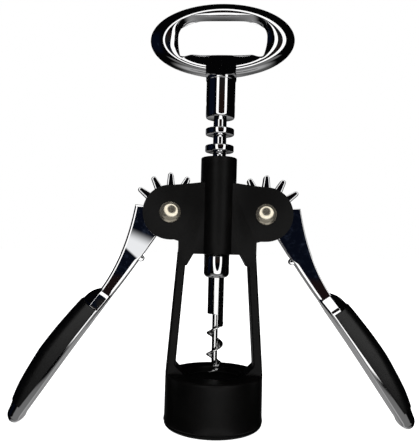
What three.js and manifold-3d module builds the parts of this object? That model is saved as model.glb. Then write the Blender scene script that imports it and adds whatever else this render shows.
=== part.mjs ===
// A wing corkscrew, standing on its bell with both lever tips down on the table.
// Millimetres, +Z up, the levers to +X and -X, the front faces -Y.
// The origin is the middle of the foot, at table height.
import * as THREE from "three";
import { mergeVertices } from "three/addons/utils/BufferGeometryUtils.js";
import Module from "manifold-3d";

// Fits
const runningGap = 0.3; // between a piece that moves and what guides it
const seatGap = 0.2; // between two fixed pieces
const sleeveFit = 0.1; // between the barrel and the sleeve that it holds
const overrun = 2; // how far a cut runs past the surface that it opens

// Fineness of the round surfaces
const roundSegments = 36;
const rackSegments = 24;
const smallSegments = 16;
const bendSegments = 4;
const weld = 1e-4; // corners closer than this are one

// Bell, the cup that goes over the bottle's mouth
const bell = {
  radius: 20,
  draft: 0.1, // how much narrower it is at the top
  top: 21,
  wall: 1.5,
  topWall: 2,
  lipSeat: 4.4, // how far the top reaches in over the bottle's lip
  seatDrop: 0.5, // the seat stands down into the liner by this much
  topRound: 1.2,
  beadOut: 0.25,
  beadHeight: 1.6,
};

// Liner, the plastic ring inside the bell that the bottle's mouth slides in
const liner = { flangeHeight: 1.6, flangeOut: 0.05, footRound: 1.4, wall: 2.5, lead: 1.2 };

// Head, the two ears that carry the levers, and the barrel between them
const pivotAcross = 19.35; // lever pivot to the spindle's axis
const pivotHeight = 86;
const head = {
  earRadius: 11,
  bottomDrop: 16.5, // below the pivots
  topRise: 12.3, // above the pivots, at the barrel
  plate: 2.2,
  cornerHalf: 9.5,
};
const barrel = { radius: 7.35, topRise: 23, topRound: 0.7, sleeveWall: 0.45, sleeveLength: 9 };

// Legs, from the head down to the bell
const leg = {
  outerTop: 15.8,
  topDrop: 10.9,
  widthTop: 3.7,
  widthFoot: 4.1,
  gusset: 3.4,
  cornerDrop: 4.7,
};

// Levers
const armThickness = 4.6;
const gear = {
  pitchRadius: 14.92,
  tip: 1.28,
  root: 4.32,
  stepDeg: 26.5,
  teeth: 8,
  above: 5, // teeth after the one in mesh, the arm's back comes next
  blendDeg: 3, // from the shoulder to where the teeth begin
};
const tooth = { rootHalf: 1.65, tipHalf: 1.1 };
const meshToothRiseDeg = 11.5; // the tooth in mesh, above the pivot line at rest
const toothLift = 0.5; // gravity holds the spindle's ring down on that tooth
const arm = { shoulderAlong: 5.7, shoulderOut: 13, waistAlong: 41, waistOut: 4.3 };
const nub = { along: 22.2, radius: 1.3, out: 1.7 };
const handle = {
  length: 105.8, // pivot to tip
  halfWidth: 6,
  out: 10,
  tipRadius: 3.2,
  tipHalfWidth: 5.3,
  edgeRound: 0.9,
  backRound: 4.6,
  edgeShare: 0.33, // the most of the height that an edge's round takes
  backAcrossShare: 0.9,
  backOutShare: 0.6,
  tipShare: 0.5, // width left at the very tip
};
const grip = {
  from: 49,
  to: 98,
  proud: 0.35,
  lipStart: 1, // from the handle's inner side to the grip's edge, at its start and at its end
  lipEnd: 3,
  coreHalfWidth: 3.3,
  thickness: 2.7,
};

// Pivot rivets
const rivet = {
  radius: 2.5,
  headRadius: 4.25,
  headHeight: 1.7,
  tailRadius: 3.4,
  tailHeight: 1,
  tailTopShare: 0.7,
};
const washerThickness = 0.8;

// Spindle, a turned rod whose rings are the rack for the levers' teeth
const spindle = {
  ringRadius: 5.85,
  grooveRadius: 2.7,
  ringThickness: 2.6,
  ringRound: 0.35,
  ringsAbove: 5, // rings above the tooth in mesh, the neck comes next
  groovesBelow: 2, // grooves below it, the collar comes next
  collarRadius: 5.2,
  collarLength: 12.6,
  collarRound: 2,
  spigotRadius: 3.1,
  spigotLength: 11,
};

// Worm
const worm = {
  shankRadius: 3.28,
  socketDepth: 8,
  shankLeft: 14.8, // collar to the end of the shank's left side
  shankRight: 20,
  cutAcross: 0.7,
  coreRadius: 1.15,
  coreEnd: 23.4,
  flightRadius: 3.45,
  pitch: 8.75,
  firstTurn: 41.5, // height of the flight's middle where it leaves the shank
  turns: 2.46,
  rootThickness: 2.2,
  edgeThickness: 0.5,
  tipPitchShare: 0.68,
  tipEdgeShare: 0.6,
  fadeTurns: 0.55, // the flight thins over its last part of a turn
  endShare: 0.08, // of its thickness left at the point
  bladeShare: 0.9, // the last of it is a blade at the flight's radius
  buriedShare: 0.6, // elsewhere it starts inside the core
  corePointShare: 0.5,
};

// Opener handle
const ring = {
  halfWidth: 29.6,
  halfHeight: 15.1,
  thickness: 8,
  centreAboveNeck: 31.95,
  crestHalfWidth: 23.3, // the crest is where the ring is thickest
  crestHalfHeight: 11.35,
  crestDrop: 1.2,
  crestRound: 5.3,
  inwardDrop: 2.5,
  turnDeg: -6, // how far the spindle is turned, as it stands
};
const opening = {
  halfWidth: 18.5,
  topRise: 9.6,
  lipDrop: 6.2,
  cornerDrop: 6.9,
  topRound: 7.1,
  lipHalf: 12.3,
  cornerHalf: 14.9,
  sideHalf: 17.2,
};
const neck = {
  radius: 5.95,
  footRound: 0.4,
  bossRadius: 6.2,
  bossDrop: 1, // the boss starts this far below the ring
  bossHeight: 8.2,
  bossLeanDeg: 25.5,
  bossSquare: 8, // exponent of its section at the top; a circle's is 2
  bossSquareRise: 2.6, // it is that square from here up
};
const pin = { radius: 1, handlePinRise: 6, wormPinRise: 4.6, wormPinRadius: 0.8, sink: 0.35 };

// Worked out from the sizes above
const degrees = Math.PI / 180;
const headHalfDepth = armThickness / 2 + runningGap + head.plate;
const slotHalfDepth = armThickness / 2 + runningGap;
const headBottom = pivotHeight - head.bottomDrop;
const headTop = pivotHeight + head.topRise;
const barrelTop = pivotHeight + barrel.topRise;
const boreRadius = spindle.ringRadius + runningGap;
const sleeveOuter = boreRadius + barrel.sleeveWall;
const sleeveSeat = sleeveOuter + sleeveFit;
const ringPitch = gear.pitchRadius * gear.stepDeg * degrees;
const tipCentre = handle.length - handle.tipRadius;
const tipReach = Math.hypot(tipCentre, handle.tipRadius);
const restDrop =
  Math.atan2(handle.tipRadius, tipCentre) + Math.asin((pivotHeight - handle.tipRadius) / tipReach);
const meshGroove = pivotHeight + gear.pitchRadius * meshToothRiseDeg * degrees - toothLift;
const grooveHalf = (ringPitch - spindle.ringThickness) / 2;
const neckFoot = meshGroove + spindle.ringsAbove * ringPitch + grooveHalf;
const collarTop = meshGroove - spindle.groovesBelow * ringPitch - grooveHalf;
const collarFoot = collarTop - spindle.collarLength;
const ringCentre = neckFoot + ring.centreAboveNeck;
const bellFoot = liner.flangeHeight + seatGap;
const bellTopRadius = bell.radius - bell.draft;
const linerOuter = bell.radius - bell.wall - seatGap;
const linerBore = linerOuter - liner.wall;
const bellHole = linerBore - bell.lipSeat;

const wasm = await Module();
wasm.setup();

// A closed geometry as a solid, with its faces turned out.
function solidOf(geometry) {
  const bare = geometry.index ? geometry.toNonIndexed() : geometry.clone();
  bare.deleteAttribute("normal");
  bare.deleteAttribute("uv");
  const merged = mergeVertices(bare, weld);
  const corners = merged.index.array;
  const kept = [];
  for (let i = 0; i < corners.length; i += 3) {
    const [a, b, c] = corners.subarray(i, i + 3);
    if (a !== b && b !== c && c !== a) kept.push(a, b, c);
  }
  const made = (order) =>
    new wasm.Manifold(
      new wasm.Mesh({
        numProp: 3,
        vertProperties: merged.attributes.position.array,
        triVerts: new Uint32Array(order),
      }),
    );
  const first = made(kept);
  if (first.volume() > 0) return first;
  return made(kept.reverse());
}

// A solid as a geometry.
function geometryOf(solid) {
  const mesh = solid.getMesh();
  const points = new Float32Array(mesh.numVert * 3);
  for (let i = 0; i < mesh.numVert; i++) {
    const from = i * mesh.numProp;
    points.set(mesh.vertProperties.subarray(from, from + 3), i * 3);
  }
  const geometry = new THREE.BufferGeometry();
  geometry.setAttribute("position", new THREE.BufferAttribute(points, 3));
  geometry.setIndex(new THREE.BufferAttribute(new Uint32Array(mesh.triVerts), 1));
  const flat = geometry.toNonIndexed();
  flat.computeVertexNormals();
  return flat;
}

const joined = (...solids) => solids.reduce((whole, next) => whole.add(next));
const cutBy = (solid, ...tools) => tools.reduce((left, tool) => left.subtract(tool), solid);

// A body turned about the Z axis from [radius, height] points.
function turned(profile, segments = roundSegments) {
  const points = profile.map(([radius, height]) => new THREE.Vector2(radius, height));
  const geometry = new THREE.LatheGeometry(points, segments);
  geometry.rotateX(Math.PI / 2);
  return solidOf(geometry);
}

// A ring turned about the Z axis: its profile closes on itself.
const turnedRing = (profile, segments) => turned([...profile, profile[0]], segments);

const rod = (radius, from, to, segments = roundSegments) =>
  turned([[0, from], [radius, from], [radius, to], [0, to]], segments);

// The quarter round between two sides of a turned profile, about its own centre.
function quarter(radius, height, round, startDeg, sweepDeg = 90, steps = bendSegments) {
  return Array.from({ length: steps + 1 }, (_, i) => {
    const a = (startDeg + (sweepDeg * i) / steps) * degrees;
    return [radius + round * Math.cos(a), height + round * Math.sin(a)];
  });
}

// A shape drawn in X and Z, as thick along Y as asked, centred on Y = 0.
function plateOf(shape, thickness, curveSegments = roundSegments / 2) {
  const geometry = new THREE.ExtrudeGeometry(shape, {
    depth: thickness,
    bevelEnabled: false,
    curveSegments,
  });
  geometry.rotateX(Math.PI / 2);
  geometry.translate(0, thickness / 2, 0);
  return solidOf(geometry);
}

function blockOf([x0, y0, z0], [x1, y1, z1]) {
  const geometry = new THREE.BoxGeometry(x1 - x0, y1 - y0, z1 - z0);
  geometry.translate((x0 + x1) / 2, (y0 + y1) / 2, (z0 + z1) / 2);
  return solidOf(geometry);
}

function shapeOf(points) {
  return new THREE.Shape(points.map(([x, z]) => new THREE.Vector2(x, z)));
}

// A skin over rings of [x, y, z] points, as many in each. An open one gets flat ends.
function skinOver(rings, closed = false) {
  const count = rings[0].length;
  const points = rings.flat();
  const corners = [];
  const last = closed ? rings.length : rings.length - 1;
  for (let i = 0; i < last; i++) {
    const here = i * count;
    const next = ((i + 1) % rings.length) * count;
    for (let j = 0; j < count; j++) {
      const k = (j + 1) % count;
      corners.push(here + j, next + j, next + k, here + j, next + k, here + k);
    }
  }
  if (!closed) {
    for (const [start, flip] of [[0, true], [(rings.length - 1) * count, false]]) {
      const middle = points.length;
      const end = points.slice(start, start + count);
      points.push([0, 1, 2].map((axis) => end.reduce((sum, p) => sum + p[axis], 0) / count));
      for (let j = 0; j < count; j++) {
        const a = start + j;
        const b = start + ((j + 1) % count);
        corners.push(...(flip ? [a, b, middle] : [b, a, middle]));
      }
    }
  }
  const geometry = new THREE.BufferGeometry();
  geometry.setAttribute("position", new THREE.Float32BufferAttribute(points.flat(), 3));
  geometry.setIndex(corners);
  return solidOf(geometry);
}

const lerp = THREE.MathUtils.lerp;
const mirrored = (solid) => {
  const geometry = geometryOf(solid);
  geometry.scale(-1, 1, 1);
  return solidOf(geometry);
};
const turnedAbout = (solid, axis, angle) => {
  const geometry = geometryOf(solid);
  geometry.applyMatrix4(new THREE.Matrix4().makeRotationAxis(axis, angle));
  return solidOf(geometry);
};
const movedBy = (solid, x, y, z) => solidOf(geometryOf(solid).translate(x, y, z));
const alongX = (solid) => turnedAbout(solid, new THREE.Vector3(0, 1, 0), Math.PI / 2);
const alongY = (solid) => turnedAbout(solid, new THREE.Vector3(1, 0, 0), Math.PI / 2);

// The bell: a thin cup, open below, with a round hole in its top for the worm.
function bellSolid() {
  const inner = bell.radius - bell.wall;
  const innerTop = bell.top - bell.topWall;
  const shoulder = bellTopRadius - bell.topRound;
  const holeRound = bell.topRound / 2;
  const bead = bell.radius + bell.beadOut;
  return turnedRing([
    [inner, bellFoot],
    [bead, bellFoot],
    [bead, bellFoot + bell.beadHeight / 2],
    [bell.radius, bellFoot + bell.beadHeight],
    ...quarter(shoulder, bell.top - bell.topRound, bell.topRound, 0),
    ...quarter(bellHole + holeRound, bell.top - holeRound, holeRound, 90),
    [bellHole, innerTop - bell.seatDrop],
    [linerBore - seatGap, innerTop - bell.seatDrop],
    [linerBore - seatGap, innerTop],
    [inner, innerTop],
  ]);
}

// The liner: a sleeve up inside the bell on a rounded flange that the corkscrew stands on.
function linerSolid() {
  const flange = bell.radius + liner.flangeOut;
  const top = bell.top - bell.topWall - seatGap;
  return turnedRing([
    [linerBore + liner.lead, 0],
    ...quarter(flange - liner.footRound, liner.footRound, liner.footRound, -90),
    [flange, liner.flangeHeight],
    [linerOuter, liner.flangeHeight],
    [linerOuter, top],
    [linerBore, top],
    [linerBore, liner.lead],
  ]);
}

// One side of the head and its leg, drawn from the front for the +X side.
function headShape() {
  const earLeft = Math.sqrt(head.earRadius ** 2 - leg.topDrop ** 2);
  const shape = new THREE.Shape();
  shape.moveTo(0, headBottom);
  shape.lineTo(head.cornerHalf, headBottom);
  shape.lineTo(leg.outerTop - leg.widthTop, headBottom - leg.cornerDrop);
  shape.lineTo(leg.outerTop, headBottom - leg.cornerDrop);
  shape.lineTo(leg.outerTop, pivotHeight - leg.topDrop);
  shape.lineTo(pivotAcross - earLeft, pivotHeight - leg.topDrop);
  const from = Math.atan2(-leg.topDrop, -earLeft);
  shape.absarc(pivotAcross, pivotHeight, head.earRadius, from, Math.PI / 2, false);
  shape.lineTo(barrel.radius, headTop);
  shape.lineTo(0, headTop);
  return shape;
}

function legShape() {
  const top = pivotHeight - leg.topDrop;
  const foot = bell.top;
  const innerTop = leg.outerTop - leg.widthTop;
  const innerFoot = bellTopRadius - leg.widthFoot;
  return shapeOf([
    [innerTop, top],
    [innerTop, headBottom - leg.cornerDrop],
    [innerFoot, foot + leg.gusset],
    [innerFoot - leg.gusset, foot],
    [innerFoot - leg.gusset, foot - bell.topWall / 2],
    [bellTopRadius, foot - bell.topWall / 2],
    [bellTopRadius, foot],
    [leg.outerTop, top],
  ]);
}

// The legs' outer faces lie on one cone that runs down into the bell's side.
function legCone() {
  const top = pivotHeight - leg.topDrop;
  const foot = bell.top - bell.topWall;
  const slope = (bellTopRadius - leg.outerTop) / (top - bell.top);
  return turned([
    [0, foot],
    [bellTopRadius, foot],
    [bellTopRadius, bell.top],
    [leg.outerTop, top],
    [leg.outerTop - slope * overrun, top + overrun],
    [0, top + overrun],
  ]);
}

// The space between the ears that the toothed sector sweeps.
function sectorPocket() {
  const reach = gear.pitchRadius + gear.tip + runningGap;
  const disc = new THREE.Shape();
  disc.absarc(0, 0, reach, 0, 2 * Math.PI, false);
  const pocket = movedBy(plateOf(disc, 2 * slotHalfDepth), pivotAcross, 0, pivotHeight);
  const above = blockOf(
    [boreRadius, -slotHalfDepth, pivotHeight],
    [pivotAcross, slotHalfDepth, headTop + overrun],
  );
  return joined(pocket, cutBy(above, rod(barrel.radius, 0, barrelTop)));
}

function frameCasting() {
  const depth = 2 * headHalfDepth;
  const oneLeg = plateOf(legShape(), depth).intersect(legCone());
  const side = joined(plateOf(headShape(), depth), oneLeg);
  const rivetHole = movedBy(
    alongY(rod(rivet.radius + seatGap, -depth, depth, smallSegments)),
    pivotAcross,
    0,
    pivotHeight,
  );
  const carved = cutBy(side, rivetHole);
  const shoulder = barrel.radius - barrel.topRound;
  const tube = turned([
    [0, headBottom],
    [barrel.radius, headBottom],
    ...quarter(shoulder, barrelTop - barrel.topRound, barrel.topRound, 0),
    [0, barrelTop],
  ]);
  const body = joined(carved, mirrored(carved), tube, bellSolid());
  const bore = rod(boreRadius, bell.top + overrun, barrelTop + overrun);
  const seat = rod(sleeveSeat, barrelTop - barrel.sleeveLength - runningGap, barrelTop + overrun);
  const pocket = sectorPocket();
  return cutBy(body, bore, seat, pocket, mirrored(pocket));
}

function guideSleeve() {
  const top = barrelTop - runningGap;
  const foot = barrelTop - barrel.sleeveLength;
  const wall = [[boreRadius, foot], [sleeveOuter, foot], [sleeveOuter, top], [boreRadius, top]];
  return turnedRing(wall, rackSegments);
}

// The toothed sector and the flat arm, from the pivot at 0,0 out along X with the back up Z.
function sectorShape() {
  const root = gear.pitchRadius - gear.root;
  const tip = gear.pitchRadius + gear.tip;
  const shape = new THREE.Shape();
  shape.moveTo(root, 0);
  shape.lineTo(nub.along - nub.radius, 0);
  shape.lineTo(nub.along - nub.radius, nub.radius - nub.out);
  shape.absarc(nub.along, nub.radius - nub.out, nub.radius, Math.PI, 2 * Math.PI, false);
  shape.lineTo(nub.along + nub.radius, 0);
  shape.lineTo(arm.waistAlong, 0);
  shape.lineTo(arm.waistAlong, arm.waistOut);
  const reach = arm.waistAlong - arm.shoulderAlong;
  const rise = arm.shoulderOut - arm.waistOut;
  const curveShares = [0.63, 0.01, 0.29, 0.46];
  shape.bezierCurveTo(
    arm.shoulderAlong + curveShares[0] * reach,
    arm.waistOut + curveShares[1] * rise,
    arm.shoulderAlong + curveShares[2] * reach,
    arm.waistOut + curveShares[3] * rise,
    arm.shoulderAlong,
    arm.shoulderOut,
  );
  let angle = Math.atan2(arm.shoulderOut, arm.shoulderAlong) + gear.blendDeg * degrees;
  shape.lineTo(root * Math.cos(angle), root * Math.sin(angle));
  const meshAngle = Math.PI - meshToothRiseDeg * degrees + restDrop;
  const first = meshAngle - gear.above * gear.stepDeg * degrees;
  const half = Math.asin(tooth.rootHalf / root);
  for (let i = 0; i < gear.teeth; i++) {
    const middle = first + i * gear.stepDeg * degrees;
    shape.absarc(0, 0, root, angle, middle - half, false);
    const centre = tip - tooth.tipHalf;
    const x = centre * Math.cos(middle);
    const z = centre * Math.sin(middle);
    shape.absarc(x, z, tooth.tipHalf, middle - Math.PI / 2, middle + Math.PI / 2, false);
    angle = middle + half;
    shape.lineTo(root * Math.cos(angle), root * Math.sin(angle));
  }
  shape.absarc(0, 0, root, angle, 2 * Math.PI, false);
  return shape;
}

// A section across the handle, nearly square towards the body and well rounded at the back.
function handleSection(along, halfWidth, low, high) {
  const height = high - low;
  const edge = Math.min(handle.edgeRound, height * handle.edgeShare);
  const backAcross = Math.min(handle.backRound, halfWidth * handle.backAcrossShare);
  const backOut = Math.min(handle.backRound, height * handle.backOutShare);
  const points = [];
  const arc = (y, z, across, out, startDeg) => {
    for (let i = 0; i <= bendSegments; i++) {
      const a = (startDeg + (90 * i) / bendSegments) * degrees;
      points.push([along, y + across * Math.cos(a), z + out * Math.sin(a)]);
    }
  };
  arc(halfWidth - edge, low + edge, edge, edge, -90);
  arc(halfWidth - backAcross, high - backOut, backAcross, backOut, 0);
  arc(backAcross - halfWidth, high - backOut, backAcross, backOut, 90);
  arc(edge - halfWidth, low + edge, edge, edge, 180);
  return points;
}

// How the handle grows from the arm: share of its length, of its half width and of its height.
const handleShares = [
  [0, 0.42, 0.47],
  [0.025, 0.6, 0.585],
  [0.056, 0.83, 0.715],
  [0.095, 0.95, 0.775],
  [0.13, 0.985, 0.81],
  [0.26, 1, 0.9],
  [0.4, 1, 0.975],
  [0.54, 1, 1],
  [0.67, 1, 0.945],
  [0.81, 0.985, 0.85],
];

function handleSections(grownBy = 0) {
  const span = tipCentre - arm.waistAlong;
  const sections = handleShares.map(([share, width, out]) =>
    handleSection(
      arm.waistAlong + share * span,
      handle.halfWidth * width + grownBy,
      0,
      handle.out * out + grownBy,
    ),
  );
  const steps = bendSegments;
  for (let i = 0; i < steps; i++) {
    const a = (90 * i * degrees) / steps;
    const out = handle.tipRadius * Math.cos(a);
    sections.push(
      handleSection(
        tipCentre + handle.tipRadius * Math.sin(a),
        handle.tipHalfWidth * lerp(handle.tipShare, 1, Math.cos(a)) + grownBy,
        handle.tipRadius - out,
        handle.tipRadius + out + grownBy,
      ),
    );
  }
  return sections;
}

// The stretch of the handle that the grip takes, from its lip line outwards.
function gripZone(gap) {
  const side = handle.halfWidth + overrun;
  const high = handle.out + overrun;
  const end = (x, low) => [[x, -side, low], [x, side, low], [x, side, high], [x, -side, high]];
  return skinOver([end(grip.from - gap, grip.lipStart - gap), end(grip.to + gap, grip.lipEnd - gap)]);
}

// What is left of the lever under the grip, as a spine.
function gripCore(gap) {
  const high = (share) => handle.out * share - grip.thickness + gap;
  const half = grip.coreHalfWidth + gap;
  const low = grip.lipStart / 2;
  const spanShares = [0.81, 0.9, 1, 0.93, 0.78];
  const rings = spanShares.map((share, i) => {
    const x = lerp(grip.from - overrun, grip.to + overrun, i / (spanShares.length - 1));
    return [[x, -half, low], [x, half, low], [x, half, high(share)], [x, -half, high(share)]];
  });
  return skinOver(rings);
}

function leverSolid() {
  const arms = plateOf(sectorShape(), armThickness, bendSegments);
  const bore = alongY(rod(rivet.radius + seatGap, -armThickness, armThickness, smallSegments));
  const body = skinOver(handleSections()).add(
    blockOf(
      [arm.waistAlong - overrun, -armThickness / 2, 0],
      [arm.waistAlong + overrun, armThickness / 2, arm.waistOut],
    ),
  );
  const bared = cutBy(body, gripZone(seatGap)).add(gripCore(0).intersect(gripZone(overrun)));
  return cutBy(joined(arms, bared), bore);
}

function gripSolid() {
  const skin = skinOver(handleSections(grip.proud)).intersect(gripZone(0));
  return cutBy(skin, gripCore(seatGap));
}

// The rivet: a flattened dome in front, the pin, and the tail closed over the washer behind.
function rivetSolid() {
  const face = headHalfDepth + seatGap;
  const behind = face + washerThickness + seatGap;
  const domeShares = [[1, 0], [0.97, 0.3], [0.86, 0.62], [0.68, 0.86], [0.45, 0.98], [0.4, 1]];
  const dome = domeShares.map(([r, h]) => [rivet.headRadius * r, face + rivet.headHeight * h]);
  const profile = [
    [0, -behind - rivet.tailHeight],
    [rivet.tailRadius * rivet.tailTopShare, -behind - rivet.tailHeight],
    [rivet.tailRadius, -behind - rivet.tailHeight / 2],
    [rivet.tailRadius, -behind],
    [rivet.radius, -behind],
    [rivet.radius, face],
    ...dome,
    [0, face + rivet.headHeight],
  ];
  return alongY(turned(profile, smallSegments));
}

function washerSolid() {
  const inner = rivet.radius + seatGap;
  const near = -headHalfDepth - seatGap;
  const far = near - washerThickness;
  const across = rivet.headRadius;
  return alongY(turnedRing([[inner, far], [across, far], [across, near], [inner, near]], smallSegments));
}

function spindleSolid() {
  const r = spindle.collarRound;
  const profile = [
    [0, collarFoot],
    ...quarter(spindle.collarRadius - r, collarFoot + r, r, -90),
    [spindle.collarRadius, collarTop],
  ];
  const rings = spindle.groovesBelow + spindle.ringsAbove;
  for (let i = 0; i < rings; i++) {
    const middle = collarTop + grooveHalf + (i + 0.5) * ringPitch;
    const low = middle - spindle.ringThickness / 2;
    const high = middle + spindle.ringThickness / 2;
    const lip = spindle.ringRadius - spindle.ringRound;
    profile.push(
      [spindle.grooveRadius, i ? low - 2 * grooveHalf : collarTop],
      [spindle.grooveRadius, low],
      [lip, low],
      [spindle.ringRadius, low + spindle.ringRound],
      [spindle.ringRadius, high - spindle.ringRound],
      [lip, high],
    );
  }
  const spigotTop = neckFoot + spindle.spigotLength;
  profile.push(
    [spindle.grooveRadius, neckFoot - 2 * grooveHalf],
    [spindle.grooveRadius, neckFoot],
    [spindle.spigotRadius, neckFoot],
    [spindle.spigotRadius, spigotTop],
    [0, spigotTop],
  );
  const socketRadius = worm.shankRadius + seatGap;
  const socketTop = collarFoot + worm.socketDepth + seatGap;
  const socket = rod(socketRadius, collarFoot - overrun, socketTop, smallSegments);
  return cutBy(turned(profile, rackSegments), socket, wormPin(seatGap), handlePin(seatGap));
}

// One turn after another of the flight, right handed, thinning to a point at its end.
function flightSolid() {
  const stepsPerTurn = 16;
  const steps = Math.round(worm.turns * stepsPerTurn);
  const rings = [];
  for (let i = 0; i <= steps; i++) {
    const turn = i / stepsPerTurn;
    const angle = -2 * Math.PI * turn;
    const even = Math.min(turn, Math.floor(worm.turns));
    const height = worm.firstTurn - worm.pitch * (even + (turn - even) * worm.tipPitchShare);
    const thin = Math.min(1, (worm.turns - turn) / worm.fadeTurns + worm.endShare);
    const inner = lerp(worm.flightRadius * worm.bladeShare, worm.coreRadius * worm.buriedShare, thin);
    const root = (worm.rootThickness / 2) * thin;
    const edge = (worm.edgeThickness / 2) * lerp(worm.tipEdgeShare, 1, thin);
    const at = (radius, z) => [radius * Math.cos(angle), radius * Math.sin(angle), z];
    rings.push([
      at(inner, height - root),
      at(worm.flightRadius, height - edge),
      at(worm.flightRadius, height + edge),
      at(inner, height + root),
    ]);
  }
  return skinOver(rings);
}

function wormSolid() {
  const top = collarFoot + worm.socketDepth;
  const shank = rod(worm.shankRadius, collarFoot - worm.shankRight, top, smallSegments);
  const side = worm.shankRadius + overrun;
  const cut = blockOf(
    [-side, -side, collarFoot - worm.shankRight - overrun],
    [worm.cutAcross, side, collarFoot - worm.shankLeft],
  );
  const core = turned(
    [
      [0, worm.coreEnd],
      [worm.coreRadius * worm.corePointShare, worm.coreEnd],
      [worm.coreRadius, worm.coreEnd + 2 * worm.coreRadius],
      [worm.coreRadius, top - worm.socketDepth],
      [0, top - worm.socketDepth],
    ],
    smallSegments,
  );
  return cutBy(joined(cutBy(shank, cut), core, flightSolid()), wormPin(seatGap));
}

// A pin across a round piece, sunk a little at both ends, or with a gap given the hole for it.
function pinAcross(radius, bodyRadius, height, gap) {
  const half = gap ? bodyRadius + overrun : bodyRadius - pin.sink;
  return movedBy(alongX(rod(radius + gap, -half, half, smallSegments)), 0, 0, height);
}
const wormPin = (gap) =>
  pinAcross(pin.wormPinRadius, spindle.collarRadius, collarFoot + pin.wormPinRise, gap);
const handlePin = (gap) => pinAcross(pin.radius, neck.radius, neckFoot + pin.handlePinRise, gap);

// The opening in the ring, with the cap-lifter lip standing up in its lower side.
function openingShape() {
  const top = opening.topRise;
  const shape = new THREE.Shape();
  shape.moveTo(0, -opening.lipDrop);
  shape.lineTo(opening.lipHalf, -opening.lipDrop);
  shape.lineTo(opening.cornerHalf, -opening.cornerDrop);
  shape.lineTo(opening.sideHalf, -opening.cornerDrop);
  const side = opening.halfWidth;
  shape.quadraticCurveTo(side, -opening.lipDrop / 2, side, top - opening.topRound);
  shape.absarc(
    opening.halfWidth - opening.topRound,
    top - opening.topRound,
    opening.topRound,
    0,
    Math.PI / 2,
    false,
  );
  shape.lineTo(0, top);
  return shape;
}

// The ring's front from its outer side to the crest, as shares of the way and of half its
// thickness, and then down to the opening, as shares of the way and of the drop.
const outerShares = [
  [0, 0],
  [0.05, 0.25],
  [0.16, 0.43],
  [0.7, 0.885],
  [0.85, 0.97],
  [1, 1],
];
const innerShares = [
  [0.28, 0.09],
  [0.55, 0.34],
  [1, 1],
];

function ringSolid() {
  const steps = 24;
  const right = openingShape().getSpacedPoints(steps);
  const left = right.slice(1, -1).reverse().map((p) => new THREE.Vector2(-p.x, p.y));
  const half = ring.thickness / 2;
  const rings = [...right, ...left].map((inner) => {
    const angle = Math.atan2(inner.y / ring.halfHeight, inner.x / ring.halfWidth);
    const [across, up] = [Math.cos(angle), Math.sin(angle)];
    const outer = [ring.halfWidth * across, ring.halfHeight * up];
    const crest = [ring.crestHalfWidth * across, ring.crestHalfHeight * up - ring.crestDrop];
    const reach = Math.hypot(crest[0] - inner.x, crest[1] - inner.y);
    const drop = Math.min(ring.inwardDrop, reach ** 2 / (2 * ring.crestRound));
    const place = (from, to, way, y) => [
      lerp(from[0], to[0], way),
      y,
      ringCentre + lerp(from[1], to[1], way),
    ];
    const front = [
      ...outerShares.map(([way, thick]) => place(outer, crest, way, -half * thick)),
      ...innerShares.map(([way, down]) => place(crest, [inner.x, inner.y], way, drop * down - half)),
    ];
    const back = front.slice(1).reverse().map(([x, y, z]) => [x, -y, z]);
    return [...front, ...back];
  });
  return skinOver(rings, true);
}

// The boss between the stem and the ring, round below, then square and leaning in to the lip.
function bossSolid(foot) {
  const round = 2;
  const leanOver = (rise) => rise * Math.tan(neck.bossLeanDeg * degrees);
  const squared = (value, power) => Math.sign(value) * Math.abs(value) ** (round / power);
  const section = (rise, power) =>
    Array.from({ length: rackSegments }, (_, i) => {
      const angle = (2 * Math.PI * i) / rackSegments;
      return [
        neck.bossRadius * squared(Math.cos(angle), power),
        (neck.bossRadius - leanOver(rise)) * squared(Math.sin(angle), power),
        foot + rise,
      ];
    });
  return skinOver([
    section(0, round),
    section(neck.bossSquareRise, neck.bossSquare),
    section(neck.bossHeight, neck.bossSquare),
  ]);
}

function openerHandle() {
  const bossFoot = ringCentre - ring.halfHeight - neck.bossDrop;
  const stem = turned(
    [
      [0, neckFoot],
      [neck.radius - neck.footRound, neckFoot],
      [neck.radius, neckFoot + neck.footRound],
      [neck.radius, bossFoot + seatGap],
      [0, bossFoot + seatGap],
    ],
    rackSegments,
  );
  const socket = rod(
    spindle.spigotRadius + seatGap,
    neckFoot - overrun,
    neckFoot + spindle.spigotLength + seatGap,
    smallSegments,
  );
  const up = new THREE.Vector3(0, 0, 1);
  const top = turnedAbout(joined(ringSolid(), bossSolid(bossFoot)), up, ring.turnDeg * degrees);
  return cutBy(joined(top, stem), socket, handlePin(seatGap));
}

// Materials
const paint = new THREE.MeshStandardMaterial({ color: 0x141414, roughness: 0.45, metalness: 0 });
const nylon = new THREE.MeshStandardMaterial({ color: 0x101010, roughness: 0.5, metalness: 0 });
const rubber = new THREE.MeshStandardMaterial({ color: 0x1c1c1d, roughness: 0.6, metalness: 0 });
const chrome = new THREE.MeshStandardMaterial({ color: 0xd8dade, roughness: 0.06, metalness: 1 });
const steel = new THREE.MeshStandardMaterial({ color: 0xbfc0c2, roughness: 0.25, metalness: 1 });
const nickel = new THREE.MeshStandardMaterial({ color: 0xcdc2ac, roughness: 0.25, metalness: 1 });

function meshOf(name, solid, material) {
  const mesh = new THREE.Mesh(geometryOf(solid), material);
  mesh.name = name;
  return mesh;
}

const corkscrew = new THREE.Group();

corkscrew.add(
  meshOf("frame_casting", frameCasting(), paint),
  meshOf("bell_liner", linerSolid(), nylon),
  meshOf("guide_sleeve", guideSleeve(), nylon),
  meshOf("rack_spindle", spindleSolid(), chrome),
  meshOf("opener_handle", openerHandle(), chrome),
  meshOf("handle_pin", handlePin(0), steel),
  meshOf("worm", wormSolid(), steel),
  meshOf("worm_pin", wormPin(0), steel),
);

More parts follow.
